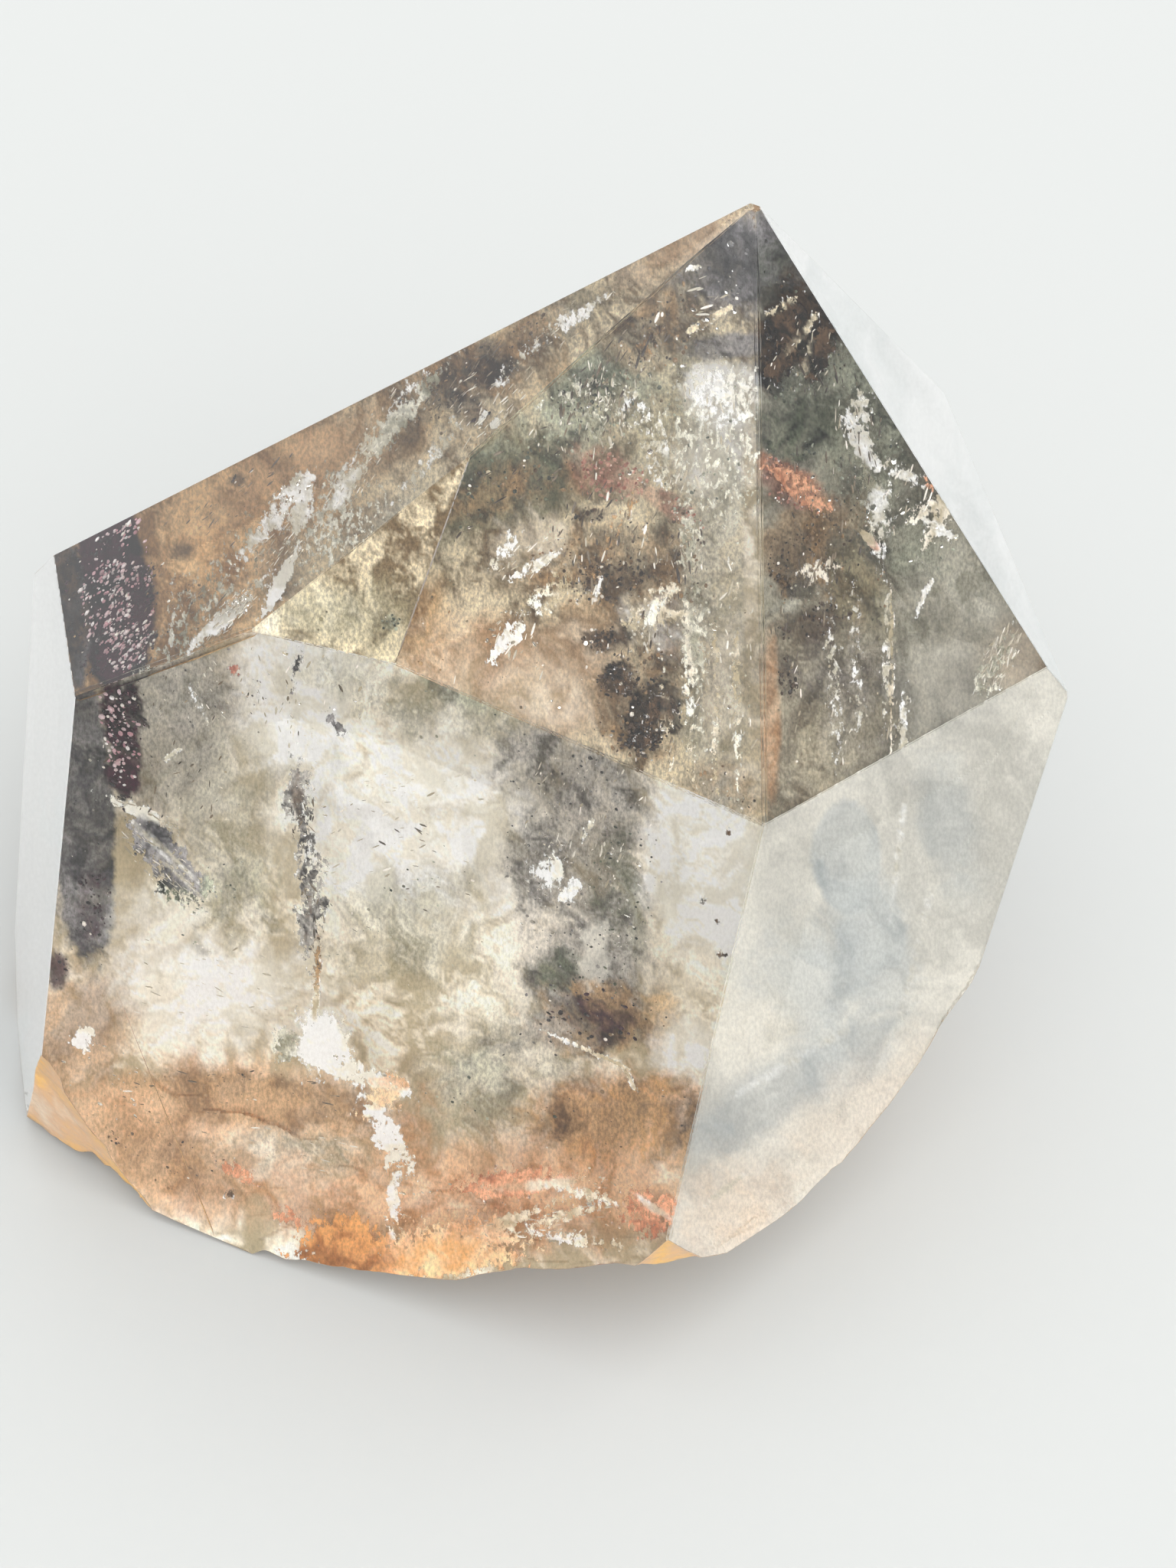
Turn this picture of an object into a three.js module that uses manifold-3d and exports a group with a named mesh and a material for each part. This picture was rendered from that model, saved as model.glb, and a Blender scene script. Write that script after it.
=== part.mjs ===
import * as THREE from "three";
import * as BufferGeometryUtils from "three/addons/utils/BufferGeometryUtils.js";
import { ImprovedNoise } from "three/addons/math/ImprovedNoise.js";
import Module from "manifold-3d";

// A quartz point that stands on its own broken base: polished crystal faces above, rough fracture below.
// Millimetres, +Z up. Every place is measured from the front toe of the base, and the finished solid
// is then moved so that its origin is the middle of its underside.

// Pose of the crystal: degrees that its long axis leans, the way it leans, and its turn about that axis
const AXIS_LEAN = 10.1;
const LEAN_TOWARDS = 29.9;
const AXIS_TURN = -110.15;
const CRYSTAL_CENTRE = [28.8, 9.65, 57.4];

// Polished faces: degrees around the long axis, degrees of slope, and distance from the crystal's centre
const FACES = {
  front_side: { around: -1.8, slope: 0.4, reach: 11.0 },
  right_side: { around: 60.2, slope: 2.0, reach: 11.0 },
  right_rear_side: { around: 114.3, slope: 1.4, reach: 21.1 },
  rear_side: { around: 180.0, slope: 0.0, reach: 41.15 },
  left_rear_side: { around: -119.6, slope: -5.2, reach: 46.1 },
  left_side: { around: -58.2, slope: 2.3, reach: 32.35 },
  front_slope: { around: 0.3, slope: 32.9, reach: 5.05 },
  right_slope: { around: 59.2, slope: 34.9, reach: 4.7 },
  right_rear_slope: { around: 121.5, slope: 39.05, reach: 9.7 },
  rear_slope: { around: -178.0, slope: 48.1, reach: 15.45 },
  left_rear_slope: { around: -117.2, slope: 40.0, reach: 15.05 },
  left_slope: { around: -64.3, slope: 42.9, reach: 12.35 },
  worn_front_corner: { around: -8.8, slope: 32.9, reach: 6.85 },
};

// The tip is worn by a hair, and one long edge has a narrow polished bevel
const TIP_HEIGHT = 16.2;
const BEVEL_WIDTH = 0.8;
const BEVELLED_EDGE = ["right_rear_slope", "right_rear_side"];

// Broken surfaces under the rim: a point on each, the way it faces, its extent and how deep its relief is
const BREAKS = {
  table_rest: { at: [16, 24, 0], faces: [0, 0, -1], extent: [85, 85], relief: 3.2 },
  front_lift: { at: [8, -2, 2.7], faces: [0.216, -0.49, -1], extent: [70, 44], relief: 1.5 },
  front_notch: { at: [14.6, -4.8, 6.1], faces: [0.205, -1.438, -1], extent: [44, 30], relief: 0.9 },
  right_lift: { at: [32.6, -1.9, 7.9], faces: [0.542, -0.588, -1], extent: [70, 60], relief: 1.6 },
  right_chip: { at: [43.6, 7.5, 16.7], faces: [1.675, -0.356, -1], extent: [60, 60], relief: 1.8 },
  left_lift: { at: [-9.4, 3.9, 1.1], faces: [-0.215, -0.245, -1], extent: [30, 30], relief: 0.6 },
  left_toe_chip: { at: [-14.4, 7.7, 13.1], faces: [-0.633, -0.774, -0.04], extent: [26, 36], relief: 0.9 },
  corner_chip: { at: [25.6, -7.6, 15.4], faces: [0.29, -0.934, -0.2], extent: [12, 14], relief: 0.25 },
  rear_lift: { at: [30, 42, 0], faces: [0.3, 0.65, -1], extent: [70, 44], relief: 1.6 },
  left_rear_lift: { at: [-8, 36, 0], faces: [-0.75, 0.5, -1], extent: [60, 44], relief: 1.4 },
};

// Relief of a break: cell of its grid, then the width of each kind of mark and its share of the depth
const CELL = 1.2;
const LEVEL = 0.35;
const LEDGE = { width: 11, share: 0.9, steps: 4, riser: [0.55, 0.95] };
const RIDGE = { width: 5.5, share: 0.7, offset: 7 };
const GRAIN = { width: 2.6, share: 0.25, offset: 19 };

// A pad of the base that is worn flat, near the middle of the weight, on the break that faces straight down
const PAD_CENTRE = [15, 24];
const PAD_RADIUS = 5;
const PAD_FADE = 3;
const FACES_DOWN = -0.999;

// The block that the crystal is cut from reaches a little below the table
const STOCK = 150;
const STOCK_BELOW = 4;
const SLAB_DEPTH = 60;
const MERGE_DISTANCE = 1e-4;

const wasm = await Module();
wasm.setup();
const noise = new ImprovedNoise();

function toSolid(geometry) {
  const triVerts = new Uint32Array(geometry.index.array);
  const vertProperties = new Float32Array(geometry.attributes.position.array);
  return new wasm.Manifold(new wasm.Mesh({ numProp: 3, vertProperties, triVerts }));
}

function mergedBox(width, height, depth, columns = 1, rows = 1) {
  const box = new THREE.BoxGeometry(width, height, depth, columns, rows, 1);
  box.deleteAttribute("normal");
  box.deleteAttribute("uv");
  return BufferGeometryUtils.mergeVertices(box, MERGE_DISTANCE);
}

// Turns a slab's +Z to the way that a face looks, and puts the middle of the face at a point
function faceMatrix(point, normal) {
  const turn = new THREE.Quaternion().setFromUnitVectors(new THREE.Vector3(0, 0, 1), normal);
  return new THREE.Matrix4().compose(point, turn, new THREE.Vector3(1, 1, 1));
}

// Crystal directions in the frame: turned about the long axis first, then leaned over
function crystalTurn() {
  const towards = THREE.MathUtils.degToRad(LEAN_TOWARDS);
  const hinge = new THREE.Vector3(-Math.sin(towards), Math.cos(towards), 0);
  const lean = new THREE.Quaternion().setFromAxisAngle(hinge, THREE.MathUtils.degToRad(AXIS_LEAN));
  const up = new THREE.Vector3(0, 0, 1);
  const turn = new THREE.Quaternion().setFromAxisAngle(up, THREE.MathUtils.degToRad(AXIS_TURN));
  return lean.multiply(turn);
}

const centre = new THREE.Vector3(...CRYSTAL_CENTRE);
const crystal = crystalTurn();

function facePlane({ around, slope, reach }) {
  const a = THREE.MathUtils.degToRad(around);
  const s = THREE.MathUtils.degToRad(slope);
  const normal = new THREE.Vector3(Math.cos(s) * Math.cos(a), Math.cos(s) * Math.sin(a), Math.sin(s));
  normal.applyQuaternion(crystal);
  return { normal, point: normal.clone().multiplyScalar(reach).add(centre) };
}

// A plain slab that lies outside a flat face
function flatCutter({ point, normal }) {
  const slab = mergedBox(2 * STOCK, 2 * STOCK, 2 * STOCK);
  slab.translate(0, 0, STOCK);
  slab.applyMatrix4(faceMatrix(point, normal));
  return toSolid(slab);
}

// The bevel lies across an edge, at the depth that gives it its width
function bevelPlane(faceA, faceB, width) {
  const a = facePlane(faceA);
  const b = facePlane(faceB);
  const normal = a.normal.clone().add(b.normal).normalize();
  const along = a.normal.clone().cross(b.normal).normalize();
  const system = new THREE.Matrix3().set(
    a.normal.x, a.normal.y, a.normal.z,
    b.normal.x, b.normal.y, b.normal.z,
    along.x, along.y, along.z,
  );
  const distances = new THREE.Vector3(a.normal.dot(a.point), b.normal.dot(b.point), along.dot(centre));
  const edgePoint = distances.applyMatrix3(system.invert());
  const depth = (width / 2) * Math.tan(a.normal.angleTo(b.normal) / 2);
  return { normal, point: edgePoint.addScaledVector(normal, -depth) };
}

function noiseAt(place, width, offset = 0) {
  return noise.noise(place.x / width, place.y / width, place.z / width + offset);
}

// Broken quartz: stepped ledges, sharp low ridges and grain, always cut inwards from the plane
function fractureDepth(place) {
  const ledge = noiseAt(place, LEDGE.width) * LEDGE.steps;
  const step = Math.floor(ledge);
  const stepped = (step + THREE.MathUtils.smoothstep(ledge - step, ...LEDGE.riser)) / LEDGE.steps;
  const ridge = Math.abs(noiseAt(place, RIDGE.width, RIDGE.offset));
  const grain = noiseAt(place, GRAIN.width, GRAIN.offset);
  return Math.max(0, LEVEL + LEDGE.share * stepped - RIDGE.share * ridge + GRAIN.share * grain);
}

// Share of the relief that is cut at a place: none on the pad
function padShare(place, normal) {
  if (normal.z > FACES_DOWN) {
    return 1;
  }
  const distance = Math.hypot(place.x - PAD_CENTRE[0], place.y - PAD_CENTRE[1]);
  return THREE.MathUtils.smoothstep(distance, PAD_RADIUS, PAD_RADIUS + PAD_FADE);
}

// A slab that lies outside a break, with the relief of the break on the side that meets the crystal
function roughCutter({ at, faces, extent, relief }) {
  const [width, height] = extent;
  const slab = mergedBox(width, height, SLAB_DEPTH, Math.round(width / CELL), Math.round(height / CELL));
  slab.translate(0, 0, SLAB_DEPTH / 2);
  const normal = new THREE.Vector3(...faces).normalize();
  const matrix = faceMatrix(new THREE.Vector3(...at), normal);
  const points = slab.attributes.position;
  const place = new THREE.Vector3();
  for (let i = 0; i < points.count; i += 1) {
    if (points.getZ(i) < SLAB_DEPTH / 2) {
      place.fromBufferAttribute(points, i).applyMatrix4(matrix);
      points.setZ(i, -relief * padShare(place, normal) * fractureDepth(place));
    }
  }
  slab.applyMatrix4(matrix);
  return toSolid(slab);
}

function quartzSolid() {
  const stock = mergedBox(STOCK, STOCK, STOCK);
  stock.translate(centre.x, centre.y, STOCK / 2 - STOCK_BELOW);
  let solid = toSolid(stock);
  for (const face of Object.values(FACES)) {
    solid = solid.subtract(flatCutter(facePlane(face)));
  }
  solid = solid.subtract(flatCutter(facePlane({ around: 0, slope: 90, reach: TIP_HEIGHT })));
  const [sloping, upright] = BEVELLED_EDGE;
  solid = solid.subtract(flatCutter(bevelPlane(FACES[sloping], FACES[upright], BEVEL_WIDTH)));
  for (const surface of Object.values(BREAKS)) {
    solid = solid.subtract(roughCutter(surface));
  }
  return solid;
}

function solidGeometry(solid) {
  const { vertProperties, triVerts } = solid.getMesh();
  const geometry = new THREE.BufferGeometry();
  geometry.setAttribute("position", new THREE.BufferAttribute(vertProperties, 3));
  geometry.setIndex(new THREE.BufferAttribute(triVerts, 1));
  geometry.computeBoundingBox();
  const { min, max } = geometry.boundingBox;
  geometry.translate(-(min.x + max.x) / 2, -(min.y + max.y) / 2, -min.z);
  geometry.computeVertexNormals();
  return geometry;
}

// Clear, slightly warm quartz with a polished skin
const quartz = new THREE.MeshStandardMaterial({
  color: "#b8a48c",
  roughness: 0.12,
  metalness: 0,
  transparent: true,
  opacity: 0.6,
  flatShading: true,
});

const point = new THREE.Mesh(solidGeometry(quartzSolid()), quartz);
point.name = "quartz_point";

const part = new THREE.Group();
part.name = "lodolite_quartz_point";
part.add(point);

export default part;
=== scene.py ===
"""A lodolite quartz point: clear polished quartz over a rough stained base, with a garden of minerals inside.

Metres, +Z up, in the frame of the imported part. What lies inside the crystal is placed as the main view shows
it: a place in its 1536 x 2048 picture, and a depth under the polished face that it is seen through.
"""

import math
from typing import NamedTuple

import bmesh
import bpy
import numpy as np
from bpy.props import FloatProperty, FloatVectorProperty, IntProperty, PointerProperty
from mathutils import Matrix, Vector, noise
from mathutils.bvhtree import BVHTree


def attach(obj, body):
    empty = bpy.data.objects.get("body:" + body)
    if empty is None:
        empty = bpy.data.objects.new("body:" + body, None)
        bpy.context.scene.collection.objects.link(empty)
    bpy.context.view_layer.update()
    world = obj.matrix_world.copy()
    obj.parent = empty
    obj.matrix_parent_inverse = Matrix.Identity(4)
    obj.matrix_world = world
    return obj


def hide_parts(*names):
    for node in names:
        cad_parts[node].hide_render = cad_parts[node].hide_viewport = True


bl_info = {
    "name": "Lodolite quartz point",
    "version": (1, 0, 0),
    "blender": (4, 5, 0),
    "location": "View3D > Sidebar > Lodolite",
    "description": "Builds a clear quartz point with a garden of mineral inclusions",
    "category": "Add Mesh",
}

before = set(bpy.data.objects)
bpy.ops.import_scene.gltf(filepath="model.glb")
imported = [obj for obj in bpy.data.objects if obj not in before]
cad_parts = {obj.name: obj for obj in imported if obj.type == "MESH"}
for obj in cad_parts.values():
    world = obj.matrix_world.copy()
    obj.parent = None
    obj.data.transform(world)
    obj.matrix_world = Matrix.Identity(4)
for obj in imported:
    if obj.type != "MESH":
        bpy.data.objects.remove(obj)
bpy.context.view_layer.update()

MM = 0.001
NODE = "quartz_point"
BODY = "root"

# The main view: a 64 mm lens on a 36 mm long side, looking down at 50 degrees from the front
PICTURE_WIDTH = 1536
PICTURE_HEIGHT = 2048
SENSOR = 36.0
LENS = 64.23
CAMERA_PLACE = Vector((6.63, -117.79, 160.93)) * MM
CAMERA_TILT = math.radians(40.0)
CAMERA_TURN = Matrix.Rotation(CAMERA_TILT, 3, "X")
FOCAL_PIXELS = LENS / SENSOR * PICTURE_HEIGHT
PIXELS_PER_MM = 18.4

QUARTZ_IOR = 1.544

# The way that each polished face looks, near enough to find it on the solid
FACE_LOOKS = {
    "front": (-0.36, -0.92, 0.15),
    "right": (0.65, -0.76, 0.0),
    "left": (-0.96, -0.19, 0.21),
    "left_slope": (-0.62, -0.01, 0.79),
    "front_slope": (-0.19, -0.74, 0.65),
    "right_slope": (0.60, -0.59, 0.54),
    "right_rear_slope": (0.85, 0.20, 0.49),
    "worn_corner": (-0.33, -0.66, 0.67),
}


class Mineral(NamedTuple):
    """A mineral in two tones, with the width of its mottles in pixels of the main view, their stretch down the
    view, its gaps, veins and fine grain, the size of its loose grains in millimetres, and the piece they join.
    """

    light: str
    dark: str
    mottle: float
    stretch: float
    gaps: float
    veins: float
    fine: float
    grain: float
    piece: str

    def __call__(self, *shape):
        """A patch of this mineral."""
        return Patch(self, *shape)

    def strewn(self, *rows):
        """Patches of loose grains alone; each row is a middle, half sizes, a tilt and a number of grains."""
        return [Patch(self, *shape, cover=0.0, grains=grains) for *shape, grains in rows]


class Patch(NamedTuple):
    """One patch of mineral: its middle and half sizes in pixels of the main view, its tilt in degrees, how much
    it covers, how soft and how ragged its border is, and how many loose grains lie in front of it.
    """

    mineral: Mineral
    x: float
    y: float
    wide: float
    high: float
    tilt: float
    cover: float
    soft: float = 0.3
    ragged: float = 0.5
    grains: int = 0


class Film(NamedTuple):
    """A film of minerals: the face that it is seen through, its depth, its patches from the first laid down,
    a gain on their tones that is painted light and shade for the way light falls through that face, and the pixels
    of the main view between its mesh points.
    """

    face: str
    depth: float
    patches: tuple
    # Painted light and shade: a gain that lightens or darkens the whole film's tones for its face
    pale: float = 1.0
    spacing: float = 3.2


snow = Mineral("#ffffff", "#dedace", 46, 1, 0.3, -0.5, 0.05, 0.08, "pale_grains")
milk = Mineral("#ffffff", "#c4bda9", 32, 1, 0.6, -0.5, 0.12, 0.07, "pale_grains")
cream = Mineral("#fff6e6", "#b4a688", 56, 1, 0.4, -0.5, 0.1, 0.07, "pale_grains")
blush = Mineral("#ecd9c0", "#ae9070", 44, 1.6, 0.3, 0.4, 0.15, 0.08, "stained_grains")
granite = Mineral("#aaa59f", "#2a2728", 22, 1.3, 0.5, 0.6, 0.3, 0.08, "plum_grains")
veil = Mineral("#e6e3d4", "#8b8874", 40, 1.6, 0.5, 0.5, 0.25, 0.07, "pale_grains")
haze = Mineral("#e6e2d8", "#c3c0b7", 120, 1.4, 0.3, 0.2, 0.08, 0.07, "pale_grains")
ash = Mineral("#c3c7c6", "#989fa2", 90, 1.2, 0.3, 0.2, 0.08, 0.07, "pale_grains")
grey = Mineral("#bdb8a6", "#75705f", 50, 2.2, 0.3, 0.3, 0.2, 0.07, "pale_grains")
# Not a mineral: near-white that stands for light, the painted reflection of the pale floor and sky in the left and
# right rear faces
painted_reflection_white = Mineral("#ffffff", "#e9eded", 120, 3, 0.3, 0.2, 0.03, 0.06, "pale_grains")
chips = Mineral("#fffaf8", "#c78f9a", 12, 1, 0.2, 0.0, 0.2, 0.14, "pale_grains")
ochre = Mineral("#dcbb8c", "#8c6a42", 44, 1.5, 0.2, 0.5, 0.22, 0.08, "stained_grains")
beige = Mineral("#ddd0b3", "#6d5b42", 34, 1.8, 0.3, 0.5, 0.3, 0.08, "stained_grains")
tan = Mineral("#cba881", "#8d6d4b", 60, 1.2, 0.2, 0.3, 0.2, 0.08, "stained_grains")
peach = Mineral("#f0cba6", "#bb8b60", 44, 1.4, 0.25, 0.4, 0.18, 0.08, "stained_grains")
amber = Mineral("#dba264", "#9a6434", 44, 1.3, 0.15, 0.3, 0.18, 0.09, "stained_grains")
honey = Mineral("#fbdfb2", "#dcaa6c", 44, 1.3, 0.15, 0.3, 0.15, 0.09, "stained_grains")
olive = Mineral("#a49c7e", "#57513b", 36, 1.8, 0.3, 0.4, 0.3, 0.08, "green_grains")
brown = Mineral("#ab8a63", "#2c1f16", 30, 1.6, 0.4, 0.5, 0.3, 0.09, "dark_grains")
clot = Mineral("#59432f", "#0f0a07", 24, 1, 0.35, 0.3, 0.3, 0.10, "dark_grains")
green = Mineral("#bcc0ab", "#303930", 30, 1.8, 0.35, 0.6, 0.3, 0.08, "green_grains")
moss = Mineral("#666d58", "#10150f", 28, 1.4, 0.3, 0.4, 0.3, 0.08, "green_grains")
slate = Mineral("#9a9697", "#2a282b", 36, 1.2, 0.3, 0.5, 0.3, 0.08, "plum_grains")
ink = Mineral("#5c5a5c", "#17171a", 30, 1.2, 0.15, 0.3, 0.3, 0.08, "plum_grains")
plum = Mineral("#3d1528", "#0c0408", 22, 1, 0.15, 0.3, 0.3, 0.13, "plum_grains")
rust = Mineral("#dea683", "#aa6e50", 30, 1.6, 0.4, 0.5, 0.25, 0.09, "red_grains")
salmon = Mineral("#dbad98", "#94584a", 28, 1.4, 0.4, 0.4, 0.25, 0.09, "red_grains")
needle = Mineral("#fffaf0", "#a89c83", 30, 1, 0.2, 0.0, 0.1, 0.05, "pale_needles")
splinter = Mineral("#8a7961", "#332820", 30, 1, 0.2, 0.0, 0.1, 0.05, "dark_needles")
glint = Mineral("#ffffff", "#ffffff", 30, 1, 0.2, 0.0, 0.1, 0.13, "crack_glints")

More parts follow.
